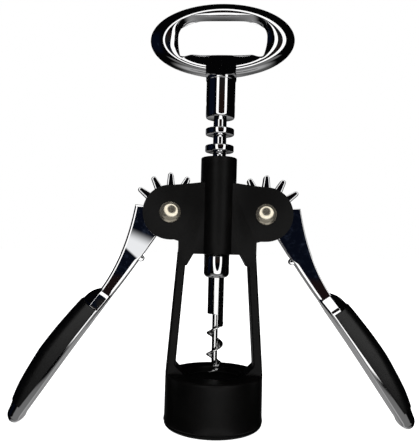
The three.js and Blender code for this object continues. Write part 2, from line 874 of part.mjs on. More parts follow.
for (const [side, across, turn] of [["left", -pivotAcross, Math.PI], ["right", pivotAcross, 0]]) {
  const pivot = new THREE.Group();
  pivot.position.set(across, 0, pivotHeight);
  const lever = new THREE.Group();
  lever.rotation.set(0, restDrop, turn, "ZYX");
  lever.add(meshOf("lever_" + side, leverSolid(), chrome), meshOf("grip_" + side, gripSolid(), rubber));
  pivot.add(
    lever,
    meshOf("pivot_rivet_" + side, rivetSolid(), nickel),
    meshOf("rivet_washer_" + side, washerSolid(), nickel),
  );
  corkscrew.add(pivot);
}

export default corkscrew;
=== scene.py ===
import bpy
import bmesh
from functools import partial
from math import atan, atan2, copysign, cos, degrees, dist, exp, hypot, pi, radians, sin, sqrt, tan
from mathutils import Matrix, Vector


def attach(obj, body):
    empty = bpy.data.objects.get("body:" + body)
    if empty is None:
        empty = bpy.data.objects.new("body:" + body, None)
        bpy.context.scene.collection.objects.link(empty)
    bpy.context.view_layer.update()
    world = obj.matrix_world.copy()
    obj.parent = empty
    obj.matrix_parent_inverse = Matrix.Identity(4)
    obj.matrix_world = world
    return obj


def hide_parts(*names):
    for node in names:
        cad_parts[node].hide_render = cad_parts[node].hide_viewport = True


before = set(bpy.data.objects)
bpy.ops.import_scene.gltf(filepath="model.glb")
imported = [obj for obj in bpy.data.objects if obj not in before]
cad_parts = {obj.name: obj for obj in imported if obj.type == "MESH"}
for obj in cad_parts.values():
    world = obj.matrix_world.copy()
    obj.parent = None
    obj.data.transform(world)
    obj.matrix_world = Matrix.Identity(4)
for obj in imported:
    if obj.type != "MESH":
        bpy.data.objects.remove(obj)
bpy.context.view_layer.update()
mm = 0.001
scene = bpy.context.scene
print("frame loaded")


# small helpers; lengths are in mm and angles in degrees

def lerp(a, b, t):
    return a + (b - a) * t


def between(p, q, t):
    return tuple(lerp(a, b, t) for a, b in zip(p, q))


def limited(t):
    return min(1.0, max(0.0, t))


def bezier(t, *points):
    while len(points) > 1:
        points = [between(p, q, t) for p, q in zip(points, points[1:])]
    return points[0]


def arc(centreX, centreY, radius, startDeg, endDeg, steps=8):
    turns = [radians(lerp(startDeg, endDeg, i / steps)) for i in range(steps + 1)]
    return [(centreX + radius * cos(a), centreY + radius * sin(a)) for a in turns]


def twoRounds(first, second, turnDeg, firstSteps=7, secondSteps=5):
    # a quarter turn from a level start, whose radius changes at turnDeg
    t = radians(turnDeg)
    centre = ((first - second) * sin(t), first + (second - first) * cos(t))
    bend = turnDeg - 90
    return arc(0, first, first, -90, bend, firstSteps) + arc(*centre, second, bend, 0, secondSteps)[1:]


def inwardNormals(outline):
    # longer at sharp corners, so that the inset edges stay parallel
    out = []
    for i, here in enumerate(outline):
        before, after = outline[i - 1], outline[(i + 1) % len(outline)]
        nx = nz = 0
        for p, q in ((before, here), (here, after)):
            length = hypot(q[0] - p[0], q[1] - p[1])
            nx += (p[1] - q[1]) / length
            nz += (q[0] - p[0]) / length
        size = hypot(nx, nz)
        grow = min(2.0, 2 / max(size, 0.2)) / size
        out.append((nx * grow, nz * grow))
    return out


def movedTo(x, y, z):
    return Matrix.Translation((x * mm, y * mm, z * mm))


def turned(axis, deg):
    return Matrix.Rotation(radians(deg), 4, axis)


def placed(piece, matrix):
    piece.data.transform(matrix)
    return piece


def newPiece(name, points, faces):
    mesh = bpy.data.meshes.new(name)
    mesh.from_pydata([(x * mm, y * mm, z * mm) for x, y, z in points], [], faces)
    piece = bpy.data.objects.new(name, mesh)
    scene.collection.objects.link(piece)
    return piece


def cleanUp(piece, sharpAngle=40, mergeAt=0.002):
    work = bmesh.new()
    work.from_mesh(piece.data)
    bmesh.ops.remove_doubles(work, verts=work.verts, dist=mergeAt * mm)
    bmesh.ops.dissolve_degenerate(work, edges=work.edges, dist=0.0005 * mm)
    bmesh.ops.recalc_face_normals(work, faces=work.faces)
    work.to_mesh(piece.data)
    work.free()
    piece.data.shade_smooth()
    piece.data.set_sharp_from_angle(angle=radians(sharpAngle))
    return piece


def bake(piece):
    # the modifiers' result as a plain mesh
    bpy.context.view_layer.update()
    result = bpy.data.meshes.new_from_object(piece.evaluated_get(bpy.context.evaluated_depsgraph_get()))
    piece.modifiers.clear()
    piece.data = result
    result.name = piece.name
    return piece


def modified(piece, kind, **settings):
    modifier = piece.modifiers.new(kind.lower(), kind)
    for key, value in settings.items():
        setattr(modifier, key, value)
    return bake(piece)


def carve(piece, tool, how="DIFFERENCE"):
    modified(piece, "BOOLEAN", operation=how, solver="EXACT", object=tool)
    bpy.data.objects.remove(tool)
    return piece


def roundEdges(piece, width, segments=3, angle=32):
    return modified(piece, "BEVEL", width=width * mm, segments=segments, limit_method="ANGLE",
        angle_limit=radians(angle), miter_outer="MITER_ARC", use_clamp_overlap=True)


def lathe(name, profile, segments=128, sharpAngle=40):
    # a profile of (radius, height), which closes on itself, or starts and ends on the axis
    points, faces, rows = [], [], []
    for r, z in profile:
        if r < 1e-6:
            rows.append([len(points)] * segments)
            points.append((0, 0, z))
        else:
            rows.append([len(points) + k for k in range(segments)])
            points += [(x, y, z) for x, y in arc(0, 0, r, 0, 360, segments)[:-1]]
    pairs = list(zip(rows, rows[1:]))
    if profile[0][0] > 1e-6:
        pairs.append((rows[-1], rows[0]))
    for low, high in pairs:
        for k in range(segments):
            n = (k + 1) % segments
            corners = list(dict.fromkeys((low[k], low[n], high[n], high[k])))
            if len(corners) > 2:
                faces.append(corners)
    return cleanUp(newPiece(name, points, faces), sharpAngle)


def rod(name, radius, low, high, segments):
    return lathe(name, [(0, low), (radius, low), (radius, high), (0, high)], segments)


def loft(name, rings, loop=False, sharpAngle=40):
    count = len(rings[0])
    faces = []
    for i in range(len(rings) if loop else len(rings) - 1):
        here, there = i * count, ((i + 1) % len(rings)) * count
        for j in range(count):
            k = (j + 1) % count
            faces.append((here + j, here + k, there + k, there + j))
    if not loop:
        faces += [list(range(count)), [(len(rings) - 1) * count + j for j in range(count)]]
    return cleanUp(newPiece(name, [p for ring in rings for p in ring], faces), sharpAngle)


def plate(name, outline, half):
    # an outline of (x, z), from -half to half along Y
    return loft(name, [[(x, y, z) for x, z in outline] for y in (-half, half)])


def edgedPlate(name, outline, half, front, back):
    # front and back give every point of the outline its edge as (distance in, drop) pairs
    inward = inwardNormals(outline)
    rings = []
    for face, edges in ((-1, front), (1, back)):
        rings += [[(x + nx * far, face * (half - drop), z + nz * far)
            for (x, z), (nx, nz), (far, drop) in zip(outline, inward, row)] for row in zip(*edges)][::-face]
    return loft(name, rings, sharpAngle=50)


def drillAcross(piece, radius, half, height):
    # a cross hole along X
    drill = rod("drill", radius, -half, half, 48)
    return carve(piece, placed(drill, movedTo(0, 0, height) @ turned("Y", 90)))


def sideName(side):
    return "Left" if side < 0 else "Right"


def dress(piece, body, slotName, *nodes):
    piece.data.materials.clear()
    piece.data.materials.append(finishes[slotName])
    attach(piece, body)
    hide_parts(*nodes)
    return piece


# node helpers: a value is a number, a colour or another node's socket, and a bare kind is a shader node

socketKinds = {float: "NodeSocketFloat", int: "NodeSocketInt", tuple: "NodeSocketVector"}


def add(tree, kind, inputs=None, **settings):
    node = tree.nodes.new(kind if "Node" in kind else "ShaderNode" + kind)
    for key, value in settings.items():
        setattr(node, key, value)
    for key, value in (inputs or {}).items():
        if hasattr(value, "is_linked"):
            tree.links.new(value, node.inputs[key])
        else:
            node.inputs[key].default_value = value
    return node


def calc(tree, how, *values):
    return add(tree, "Math", dict(enumerate(values)), operation=how).outputs[0]


def ramp(tree, value, start, end, low=0.0, high=1.0, how="LINEAR"):
    return add(tree, "MapRange", {"Value": value, "From Min": start, "From Max": end,
        "To Min": low, "To Max": high}, interpolation_type=how).outputs[0]


def step(tree, value, start, end):
    return ramp(tree, value, start, end, how="SMOOTHSTEP")


def mixed(tree, share, a, b):
    a, b = ((*colour, 1) if isinstance(colour, tuple) else colour for colour in (a, b))
    return add(tree, "Mix", {"Factor": share, "A": a, "B": b}, data_type="RGBA").outputs["Result"]


def groupOf(kind, name, ins, outs=()):
    # inputs by name with their values; a geometry tree also has its geometry and its material
    group = bpy.data.node_groups.new(name, kind)
    face = group.interface
    shapes = kind == "GeometryNodeTree"
    for way in ("INPUT", "OUTPUT") if shapes else ():
        face.new_socket("Geometry", in_out=way, socket_type="NodeSocketGeometry")
    for label, value in ins.items():
        face.new_socket(label, in_out="INPUT", socket_type=socketKinds[type(value)]).default_value = value
    if shapes:
        face.new_socket("Material", in_out="INPUT", socket_type="NodeSocketMaterial")
    for label in outs:
        face.new_socket(label, in_out="OUTPUT", socket_type="NodeSocketFloat")
    return group, add(group, "NodeGroupInput").outputs, add(group, "NodeGroupOutput").inputs


def finishTree(tree, geometry, ins, outs, withInput=True):
    if withInput:
        joined = add(tree, "GeometryNodeJoinGeometry", {0: geometry})
        tree.links.new(ins["Geometry"], joined.inputs[0])
        geometry = joined.outputs[0]
    solid = add(tree, "GeometryNodeRealizeInstances", {0: geometry})
    skin = add(tree, "GeometryNodeSetMaterial", {"Geometry": solid.outputs[0], "Material": ins["Material"]})
    tree.links.new(skin.outputs[0], outs[0])
    return tree


def runNodes(piece, tree, values):
    modifier = piece.modifiers.new("nodes", "NODES")
    modifier.node_group = tree
    for item in tree.interface.items_tree:
        if item.in_out == "INPUT" and item.name in values:
            modifier[item.identifier] = values[item.name]
    return bake(piece)


def emptyMaterial(name):
    material = bpy.data.materials.new(name)
    material.use_nodes = True
    material.node_tree.nodes.clear()
    return material, material.node_tree


def letGlow(tree, colour):
    glow = add(tree, "Emission", {"Color": colour, "Strength": 1.0})
    add(tree, "OutputMaterial", {0: glow.outputs[0]})


# materials

def speckleGroup():
    # fine grain and larger cloudy patches, for colour, roughness and bump
    group, ins, outs = groupOf("ShaderNodeTree", "surfaceSpeckle",
        {"Grain Per Metre": 2500.0, "Patch Per Metre": 120.0, "Contrast": 0.5}, ("Grain", "Patch"))
    where = add(group, "TexCoord").outputs["Object"]
    low, high = (calc(group, how, 0.5, ins["Contrast"]) for how in ("SUBTRACT", "ADD"))
    for label, detail, roughness in (("Grain", 3.0, 0.6), ("Patch", 4.0, 0.55)):
        noise = add(group, "TexNoise", {"Vector": where, "Scale": ins[label + " Per Metre"],
            "Detail": detail, "Roughness": roughness})
        group.links.new(ramp(group, noise.outputs[0], 0.3, 0.7, low, high), outs[label])
    return group


def polishGroup():
    # hairline polishing marks that run along one direction of the piece
    group, ins, outs = groupOf("ShaderNodeTree", "polishLines",
        {"Along": (1.0, 1.0, 1.0), "Per Metre": 900.0}, ("Lines",))
    where = add(group, "TexCoord").outputs["Object"]
    stretched = add(group, "VectorMath", {0: where, 1: ins["Along"]}, operation="MULTIPLY")
    lines = add(group, "TexNoise", {"Vector": stretched.outputs[0], "Scale": ins["Per Metre"],
        "Detail": 5.0, "Roughness": 0.7})
    group.links.new(lines.outputs[0], outs["Lines"])
    return group


speckle = speckleGroup()
polish = polishGroup()


def finishMaterial(name, dark, light, smooth, rough, metallic=0.0, grain=2500.0, patch=120.0, bump=0.0,
        contrast=0.5, lines=None, specular=0.5):
    # with lines, the bump comes from polishing marks, otherwise from the grain
    material = bpy.data.materials.new(name)
    material.use_nodes = True
    tree = material.node_tree
    shader = tree.nodes["Principled BSDF"].inputs
    marks = add(tree, "Group", node_tree=speckle)
    for label, value in (("Grain Per Metre", grain), ("Patch Per Metre", patch), ("Contrast", contrast)):
        marks.inputs[label].default_value = value
    height = marks.outputs["Grain"]
    tree.links.new(mixed(tree, marks.outputs["Patch"], dark, light), shader["Base Color"])
    tree.links.new(ramp(tree, height, 0, 1, smooth, rough), shader["Roughness"])
    shader["Metallic"].default_value = metallic
    shader["Specular IOR Level"].default_value = specular
    if lines:
        hair = add(tree, "Group", node_tree=polish)
        hair.inputs["Along"].default_value = lines
        height = hair.outputs["Lines"]
    if bump:
        raised = add(tree, "Bump", {"Height": height, "Strength": bump, "Distance": 0.02 * mm})
        tree.links.new(raised.outputs[0], shader["Normal"])
    return material


finishes = {
    "black_casting": finishMaterial("satinBlackPaint", (0.0010, 0.0009, 0.0009), (0.0018, 0.0016, 0.0015),
        0.34, 0.45, grain=3200, patch=140, bump=0.3, specular=0.2),
    "black_nylon": finishMaterial("blackNylon", (0.001,) * 3, (0.0018,) * 3,
        0.34, 0.46, grain=2600, patch=90, bump=0.25, specular=0.2),
    "soft_grip": finishMaterial("softGripRubber", (0.0006, 0.0006, 0.0007), (0.0012, 0.0012, 0.0013),
        0.25, 0.33, grain=3600, patch=160, bump=0.3),
    "dark_chrome": finishMaterial("chromePlating", (0.93, 0.93, 0.94), (0.96, 0.96, 0.97),
        0.03, 0.07, metallic=1.0, grain=1800, patch=60, contrast=0.35),
    "worm_steel": finishMaterial("wormSteel", (0.84,) * 3, (0.9,) * 3, 0.07, 0.14,
        metallic=1.0, grain=2600, patch=200, lines=(1.0, 1.0, 0.08), bump=0.1),
    "warm_nickel": finishMaterial("warmNickel", (0.80, 0.72, 0.57), (0.92, 0.85, 0.70), 0.12, 0.18,
        metallic=0.93, grain=2400, patch=500, bump=0.08),
}
print("materials made")


# camera and studio

cameraSet = dict(distance=216.0, yaw=2.2, height=74.0, lens=42.72, roll=1.45, axisRight=7.6, pixel=0.41,
    principalRow=243.0, middleRow=221.5, rows=443)


def makeCamera(s):
    cam = bpy.data.objects.new("camera", bpy.data.cameras.new("camera"))
    scene.collection.objects.link(cam)
    yaw = radians(s["yaw"])
    # the spindle's axis is a few pixels right of the picture's middle
    look = yaw - atan(s["axisRight"] * s["pixel"] / s["distance"])
    ahead = Vector((sin(look), cos(look), 0)).to_track_quat("-Z", "Y").to_matrix().to_4x4()
    cam.matrix_world = movedTo(-sin(yaw) * s["distance"], -cos(yaw) * s["distance"], s["height"]) \
        @ ahead @ turned("Z", s["roll"])
    cam.data.sensor_width = 36
    cam.data.lens = s["lens"]
    cam.data.shift_y = (s["principalRow"] - s["middleRow"]) / s["rows"]
    cam.data.clip_start = 0.01
    cam.data.clip_end = 50
    scene.camera = cam


# directions are (azimuth from the front, rise); each patch has its outer and inner angle and its colour;
# rises and sides in pairs run from none of an effect to all of it
studioSet = dict(tentRadius=900.0, tentHeight=90.0, dark=(0.0012, 0.0012, 0.0014),
    patches=((-78, 15, 36, 14, (0.0018, 0.0032, 0.0085)), (-68, 12, 5, 3, (0.006, 0.010, 0.019)),
        (-143, 8, 9, 6, (0.16, 0.17, 0.19)), (0, -90, 52, 30, (0.36,) * 3)),
    table=(0.15,) * 3, tableRise=(-19, -22), tableFront=(-0.35, -0.55), back=(0.5,) * 3, backLow=(0.26,) * 3,
    backRise=(-5, -24), backFoot=(-48, -36), backShade=(-10, -24), backSide=(42.0, 8.0), front=(6.0, 18.0),
    holeHalf=22.6, lightHalf=39.2, light=(1.2, 1.2, 1.188), holeFoot=(0.012, 0.0065, 0.0052),
    holeBands=((12.6, 11.4, (0.0012, 0.0012, 0.0020)), (18, 20, (0.0115, 0.0105, 0.0105)),
        (26, 32, (0.0028, 0.0042, 0.0085))),
    floorHalf=3000.0, floorDrop=0.02, floorGlow=0.86, lampSize=700.0, lampAim=(0, 0, 80),
    lamps=(("softKey", (-500, -900, 800), 6.0), ("softFill", (700, -700, 400), 3.0)))


def makeWorld():
    world = bpy.data.worlds.new("paleStudio")
    scene.world = world
    world.use_nodes = True
    tree = world.node_tree
    tree.nodes.clear()
    path = add(tree, "LightPath").outputs
    seen = calc(tree, "MAXIMUM", path["Is Camera Ray"], path["Is Glossy Ray"])
    level = ramp(tree, calc(tree, "MAXIMUM", seen, path["Is Transmission Ray"]), 0, 1, 0.8, 1.0)
    back = add(tree, "Background", {"Color": (1, 1, 1, 1), "Strength": level})
    add(tree, "OutputWorld", {0: back.outputs[0]})


def onlyReflected(piece):
    for kind in ("camera", "diffuse", "shadow", "transmission", "volume_scatter"):
        setattr(piece, "visible_" + kind, False)


def makeTent(s):
    # a dark tent round the object, seen only in its reflections
    bpy.ops.mesh.primitive_uv_sphere_add(segments=64, ring_count=32, radius=s["tentRadius"] * mm)
    tent = bpy.context.object
    tent.name = "studioTent"
    tent.location = (0, 0, s["tentHeight"] * mm)
    material, tree = emptyMaterial("tentCloth")
    where = add(tree, "TexCoord").outputs["Object"]
    way = add(tree, "VectorMath", {0: where}, operation="NORMALIZE").outputs[0]
    wayX, wayY, wayZ = add(tree, "SeparateXYZ", {0: way}).outputs

    def angleFrom(azimuthDeg, riseDeg):
        # azimuth 0 is towards the viewer of the front, positive to the right
        a, e = radians(azimuthDeg), radians(riseDeg)
        axis = (sin(a) * cos(e), -cos(a) * cos(e), sin(e))
        dot = add(tree, "VectorMath", {0: way, 1: axis}, operation="DOT_PRODUCT")
        return calc(tree, "DEGREES", calc(tree, "ARCCOSINE", dot.outputs["Value"]))

    def atRise(startDeg, endDeg):
        return step(tree, wayZ, sin(radians(startDeg)), sin(radians(endDeg)))

    colour = s["dark"]
    for azimuth, rise, outer, inner, shade in s["patches"]:
        colour = mixed(tree, step(tree, angleFrom(azimuth, rise), outer, inner), colour, shade)
    table = calc(tree, "MULTIPLY", atRise(*s["tableRise"]), step(tree, wayY, *s["tableFront"]))
    colour = mixed(tree, table, colour, s["table"])
    # the low back, seen in undersides: bright near the horizon, grey towards the table
    aside = calc(tree, "ABSOLUTE", calc(tree, "ARCTAN2", wayX, wayY))
    low = calc(tree, "MULTIPLY", atRise(*s["backRise"]), atRise(*s["backFoot"]))
    low = calc(tree, "MULTIPLY", low, step(tree, aside, *map(radians, s["backSide"])))
    colour = mixed(tree, low, colour, mixed(tree, atRise(*s["backShade"]), s["back"], s["backLow"]))
    # the ring of light in front, and the dark room in its hole
    front = angleFrom(*s["front"])
    colour = mixed(tree, step(tree, front, s["lightHalf"] + 1.0, s["lightHalf"] - 1.0), colour, s["light"])
    hole = s["holeFoot"]
    for start, end, shade in s["holeBands"]:
        hole = mixed(tree, atRise(start, end), hole, shade)
    letGlow(tree, mixed(tree, step(tree, front, s["holeHalf"] + 0.8, s["holeHalf"] - 0.8), colour, hole))
    tent.data.materials.append(material)
    onlyReflected(tent)


def makeFloor(s):
    half = s["floorHalf"]
    corners = ((-half, -half), (half, -half), (half, half), (-half, half))
    floor = newPiece("floor", [(x, y, -s["floorDrop"]) for x, y in corners], [(0, 1, 2, 3)])
    material, tree = emptyMaterial("paleFloor")
    cloth = add(tree, "BsdfDiffuse", {"Color": (0.8, 0.8, 0.8, 1)}).outputs[0]
    glow = add(tree, "Emission", {"Color": (1, 1, 1, 1), "Strength": s["floorGlow"]}).outputs[0]
    both = add(tree, "AddShader", {0: cloth, 1: glow}).outputs[0]
    seen = add(tree, "LightPath").outputs["Is Camera Ray"]
    pick = add(tree, "MixShader", {0: seen, 1: cloth, 2: both})
    add(tree, "OutputMaterial", {0: pick.outputs[0]})
    floor.data.materials.append(material)
    floor.visible_glossy = False


def makeLamps(s):
    for name, spot, power in s["lamps"]:
        data = bpy.data.lights.new(name, "AREA")
        data.shape = "DISK"
        data.size = s["lampSize"] * mm
        data.energy = power
        lamp = bpy.data.objects.new(name, data)
        scene.collection.objects.link(lamp)
        way = Vector(s["lampAim"]) - Vector(spot)
        lamp.matrix_world = movedTo(*spot) @ way.to_track_quat("-Z", "Y").to_matrix().to_4x4()
        lamp.visible_glossy = False


makeCamera(cameraSet)
makeWorld()
makeTent(studioSet)
makeFloor(studioSet)
makeLamps(studioSet)
scene.view_settings.view_transform = "Standard"
print("studio made")


# bell and liner

bellSet = dict(radius=20.0, topRadius=19.9, foot=1.8, top=21.0, wall=1.5, topWall=2.0, hole=11.4,
    topRound=1.2, seatDrop=0.5, seatOuter=15.6, beadOut=0.25, beadHeight=1.6)
linerSet = dict(outer=18.3, bore=15.8, flange=20.05, flangeHeight=1.6, footRound=1.4, lead=1.2, top=18.8,
    edge=0.3)


def makeBell(radius, topRadius, foot, top, wall, topWall, hole, topRound, seatDrop, seatOuter, beadOut,
        beadHeight):
    inner, seat, lip = radius - wall, top - topWall - seatDrop, topRound / 2
    bead, sideFoot = radius + beadOut, foot + beadHeight
    profile = [(inner, foot + 0.15), (inner + 0.15, foot), (bead - 0.2, foot)]
    profile += arc(bead - 0.25, foot + 0.45, 0.25, -60, 30, 5)
    profile += [(radius + beadOut * 0.6, foot + beadHeight * 0.75), (radius + 0.03, sideFoot)]
    profile += [between((radius, sideFoot), (topRadius, top - topRound), k / 8) for k in range(1, 8)]
    profile += arc(topRadius - topRound, top - topRound, topRound, 0, 90, 10)
    profile += arc(hole + lip, top - lip, lip, 90, 180, 8)
    profile += [(hole, seat + 0.2), (hole + 0.2, seat), (seatOuter, seat), (seatOuter, seat + seatDrop),
        (inner, seat + seatDrop)]
    return lathe("bellShell", profile, 160)


def makeLiner(outer, bore, flange, flangeHeight, footRound, lead, top, edge):
    profile = [(bore + lead, 0.0)] + arc(flange - footRound, footRound, footRound, -90, 0, 10)
    profile += arc(flange - 0.2, flangeHeight - 0.2, 0.2, 0, 90, 4)
    profile += [(outer, flangeHeight), (outer, top - edge), (outer - edge, top), (bore + edge, top),
        (bore, top - edge), (bore, lead)]
    return lathe("bellLiner", profile, 160)


dress(makeBell(**bellSet), "frame", "black_casting", "frame_casting")
dress(makeLiner(**linerSet), "frame", "black_nylon", "bell_liner")
print("bell made")


# barrel, head and legs

headSet = dict(pivotAcross=19.35, pivotHeight=86.0, earRadius=11.0, bottom=69.5, top=98.3, halfDepth=4.8,
    slotHalf=2.6, sectorReach=16.5, cornerHalf=9.5, edge=0.42, rivetHole=2.7, legOuterTop=15.8, legTop=75.1,
    legWidthTop=3.7, legWidthFoot=4.1, legRound=0.55, cornerDrop=4.7, gusset=3.4,
    legLap=2.0, legSunk=0.8)
barrelSet = dict(radius=7.35, top=109.0, bottom=69.5, topRound=0.7, bore=6.15, seat=6.7, seatFoot=99.7)


def carveSlots(piece):
    # room for the toothed ends of both levers
    s = headSet
    reach = arc(s["pivotAcross"], s["pivotHeight"], s["sectorReach"], 0, 360, 160)[:-1]
    for side in (-1, 1):
        carve(piece, plate("slot", [(side * x, z) for x, z in reach], s["slotHalf"]))


def makeBarrel(radius, top, bottom, topRound, bore, seat, seatFoot):
    profile = [(bore, bottom + 0.3), (bore + 0.3, bottom)]
    profile += arc(radius - 0.35, bottom + 0.35, 0.35, -90, 0, 5)
    profile += [(radius, lerp(bottom, top, k / 10)) for k in range(1, 10)]
    profile += arc(radius - topRound * 0.8, top - topRound, topRound * 0.8, 0, 70, 8)
    barrel = lathe("barrel", profile + [(seat, top - 0.12), (seat, seatFoot), (bore, seatFoot)])
    carveSlots(barrel)
    return cleanUp(barrel, 45)


def headOutline(s):
    # the +X half, from the bottom middle round the ear to the top middle
    across, height, ear, legOuter = s["pivotAcross"], s["pivotHeight"], s["earRadius"], s["legOuterTop"]
    corner = s["bottom"] - s["cornerDrop"]
    out = [(s["cornerHalf"], s["bottom"]), (legOuter - s["legWidthTop"], corner), (legOuter - 0.1, corner),
        (legOuter, s["legTop"] - 0.6)]
    earLeft = sqrt(ear ** 2 - (height - s["legTop"]) ** 2)
    out += arc(across, height, ear, degrees(atan2(s["legTop"] - height, -earLeft)) + 360, 450, 60)
    for i in range(1, 13):
        # the top edge rises gently from the ear to the barrel
        x = lerp(across, barrelSet["radius"] - 1, i / 12)
        t = (across - x) / (across - barrelSet["radius"])
        out.append((x, lerp(height + ear, s["top"], min(1, t) ** 1.3)))
    return out


def makeHead(s):
    right = headOutline(s)
    head = plate("head", right + [(-x, z) for x, z in reversed(right)], s["halfDepth"])
    carveSlots(head)
    inner, outer, low, high = barrelSet["bore"] + 0.4, s["pivotAcross"], s["pivotHeight"], s["top"] + 3
    for side in (-1, 1):
        box = [(side * x, z) for x, z in ((inner, low), (outer, low), (outer, high), (inner, high))]
        carve(head, plate("slotTop", box, s["slotHalf"]))
    carve(head, rod("bore", inner, 60, 110, 96))
    return cleanUp(roundEdges(head, s["edge"]), 50)


def makeLeg(s, side):
    # rounded sections from the head down into the bell's side
    rings = []
    foot, gusset = bellSet["top"], s["gusset"]
    waist = foot + gusset + 1.2
    heights = [lerp(s["legTop"] - s["legLap"], waist, i / 14) for i in range(15)]
    heights += [lerp(waist, foot - s["legSunk"], i / 12) for i in range(1, 13)]
    innerTop = s["legOuterTop"] - s["legWidthTop"]
    innerFoot = bellSet["topRadius"] - s["legWidthFoot"]
    r = s["legRound"]
    half = s["halfDepth"] - 0.03 - r
    for z in heights:
        drop, length = s["legTop"] - z, s["legTop"] - foot
        outer = lerp(s["legOuterTop"], bellSet["topRadius"], limited(drop / length))
        outer -= 0.02 if z < foot else 0
        inner = lerp(innerTop, innerFoot, min(1.0, drop / (length - gusset)))
        if z < foot + gusset:
            inner -= min(gusset, foot + gusset - z)
        ring = []
        for cx, cy, start in ((outer - r, half, 0), (inner + r, half, 90), (inner + r, -half, 180),
                (outer - r, -half, 270)):
            corner = arc(cx, cy, r, start, start + 90, 5)
            if start == 270:
                corner += [(outer, lerp(-half, half, k / 12)) for k in range(1, 12)]
            for x, y in corner:
                # the outer face follows the bell's round
                if start in (0, 270):
                    x -= outer - sqrt(max(0.0, outer ** 2 - y ** 2))
                ring.append((side * x, y, z))
        rings.append(ring)
    leg = loft("leg" + sideName(side), rings, sharpAngle=50)
    carveSlots(leg)
    return cleanUp(leg, 50)


for piece in (makeBarrel(**barrelSet), makeHead(headSet), makeLeg(headSet, -1), makeLeg(headSet, 1)):
    dress(piece, "frame", "black_casting", "frame_casting")
print("frame casting made")


# guide sleeve

sleeveSet = dict(bore=6.15, outer=6.6, foot=100.0, top=108.7, edge=0.15)


def makeSleeve(bore, outer, foot, top, edge):
    return lathe("guideSleeve", [(bore, foot), (outer, foot), (outer, top - edge), (outer - edge, top),
        (bore + edge, top), (bore, top - edge)], 96)


dress(makeSleeve(**sleeveSet), "sleeve", "black_nylon", "guide_sleeve")


# spindle

spindleSet = dict(grooveRadius=2.7, ringRadius=5.85, ringThickness=2.6, edge=0.42, pitch=6.9007,
    meshGroove=88.4949, ringsAbove=5, groovesBelow=2, collarRadius=5.2, collarLength=12.6, collarFoot=3.4,
    collarRound=2.0, collarEdge=0.3, pinHeight=4.6, pinRadius=0.8, pinGap=0.2, pinIn=0.35)


def ringsTree():
    # equal rings up a rod, with rounded edges
    tree, ins, outs = groupOf("GeometryNodeTree", "rackRings",
        {"Radius": 0.006, "Hollow": 0.0025, "Thickness": 0.0026, "Edge": 0.0004,
        "Pitch": 0.007, "Count": 7, "First": 0.08})
    wide, both = (calc(tree, how, ins["Radius"], ins["Hollow"]) for how in ("SUBTRACT", "ADD"))
    section = add(tree, "GeometryNodeCurvePrimitiveQuadrilateral",
        {"Width": wide, "Height": ins["Thickness"]})
    rounded = add(tree, "GeometryNodeFilletCurve", {"Curve": section.outputs[0], "Radius": ins["Edge"],
        "Count": 6}, mode="POLY")
    path = add(tree, "GeometryNodeCurvePrimitiveCircle", {"Resolution": 128,
        "Radius": calc(tree, "MULTIPLY", both, 0.5)})
    up = add(tree, "GeometryNodeSetCurveNormal", {"Curve": path.outputs[0]}, mode="Z_UP")
    ring = add(tree, "GeometryNodeCurveToMesh", {"Curve": up.outputs[0], "Profile Curve": rounded.outputs[0]})
    start, away = (add(tree, "CombineXYZ", {"Z": ins[label]}).outputs[0] for label in ("First", "Pitch"))
    spots = add(tree, "GeometryNodeMeshLine",
        {"Count": ins["Count"], "Start Location": start, "Offset": away}, mode="OFFSET")
    copies = add(tree, "GeometryNodeInstanceOnPoints",
        {"Points": spots.outputs[0], "Instance": ring.outputs[0]})
    return finishTree(tree, copies.outputs[0], ins, outs)


def makeSpindle(s):
    pitch, thick, groove = s["pitch"], s["ringThickness"], s["grooveRadius"]
    gap = (pitch - thick) / 2
    low = s["meshGroove"] - s["groovesBelow"] * pitch - gap
    high = s["meshGroove"] + s["ringsAbove"] * pitch + gap
    foot = low - s["collarLength"]
    collar, r, edge = s["collarRadius"], s["collarRound"], s["collarEdge"]
    profile = [(0, foot), (s["collarFoot"], foot)] + arc(collar - r, foot + r, r, -75, 0, 10)
    profile += [(collar, low - edge), (collar - edge, low), (groove + 0.2, low), (groove, low + 0.2),
        (groove, high + 2), (0, high + 2)]
    rack = lathe("spindleRod", profile)
    drillAcross(rack, s["pinRadius"] + s["pinGap"], collar + 2, foot + s["pinHeight"])
    runNodes(rack, ringsTree(), {
        "Radius": s["ringRadius"] * mm, "Hollow": (groove - 0.3) * mm, "Thickness": thick * mm,
        "Edge": s["edge"] * mm, "Pitch": pitch * mm, "Count": s["groovesBelow"] + s["ringsAbove"],
        "First": (low + gap + pitch / 2) * mm, "Material": finishes["dark_chrome"]})
    return cleanUp(rack, 50), foot, high


spindleRod, collarFoot, neckFoot = makeSpindle(spindleSet)
dress(spindleRod, "spindle", "dark_chrome", "rack_spindle")
print("spindle made, collar foot %.2f, neck foot %.2f" % (collarFoot, neckFoot))


# opener handle; side, top and foot hold the crest's tight radius, its wide radius and the inner slope's tilt

ringSet = dict(halfWidth=29.6, halfHeight=15.1, centre=157.1, halfThickness=4.0, crestHalfWidth=23.1,
    crestHalfHeight=11.6, crestCentre=156.2, openHalfWidth=18.5, openTop=9.6, openRound=6.8, lipDrop=6.2,
    cornerDrop=7.5, lipHalf=12.3, cornerHalf=14.9, sideHalf=16.8, topSag=1.0, side=(4.2, 8.8, 31.0),
    top=(2.2, 4.6, 24.0), foot=(1.7, 3.5, 24.5), outerRound=2.0, innerRound=0.3, crestTurn=9.5, turn=-5.0)
neckSet = dict(radius=5.95, edge=0.3, edgeWide=2.4, edgeTurn=66.0, shoulder=140.5, bossRadius=6.2,
    squareFrom=1.1, squareRise=0.25, squarePower=8.0, lean=25.5, leanStart=0.5, bossTop=149.2,
    pinHeight=6.0, pinRadius=1.0, pinGap=0.2, pinIn=0.35)


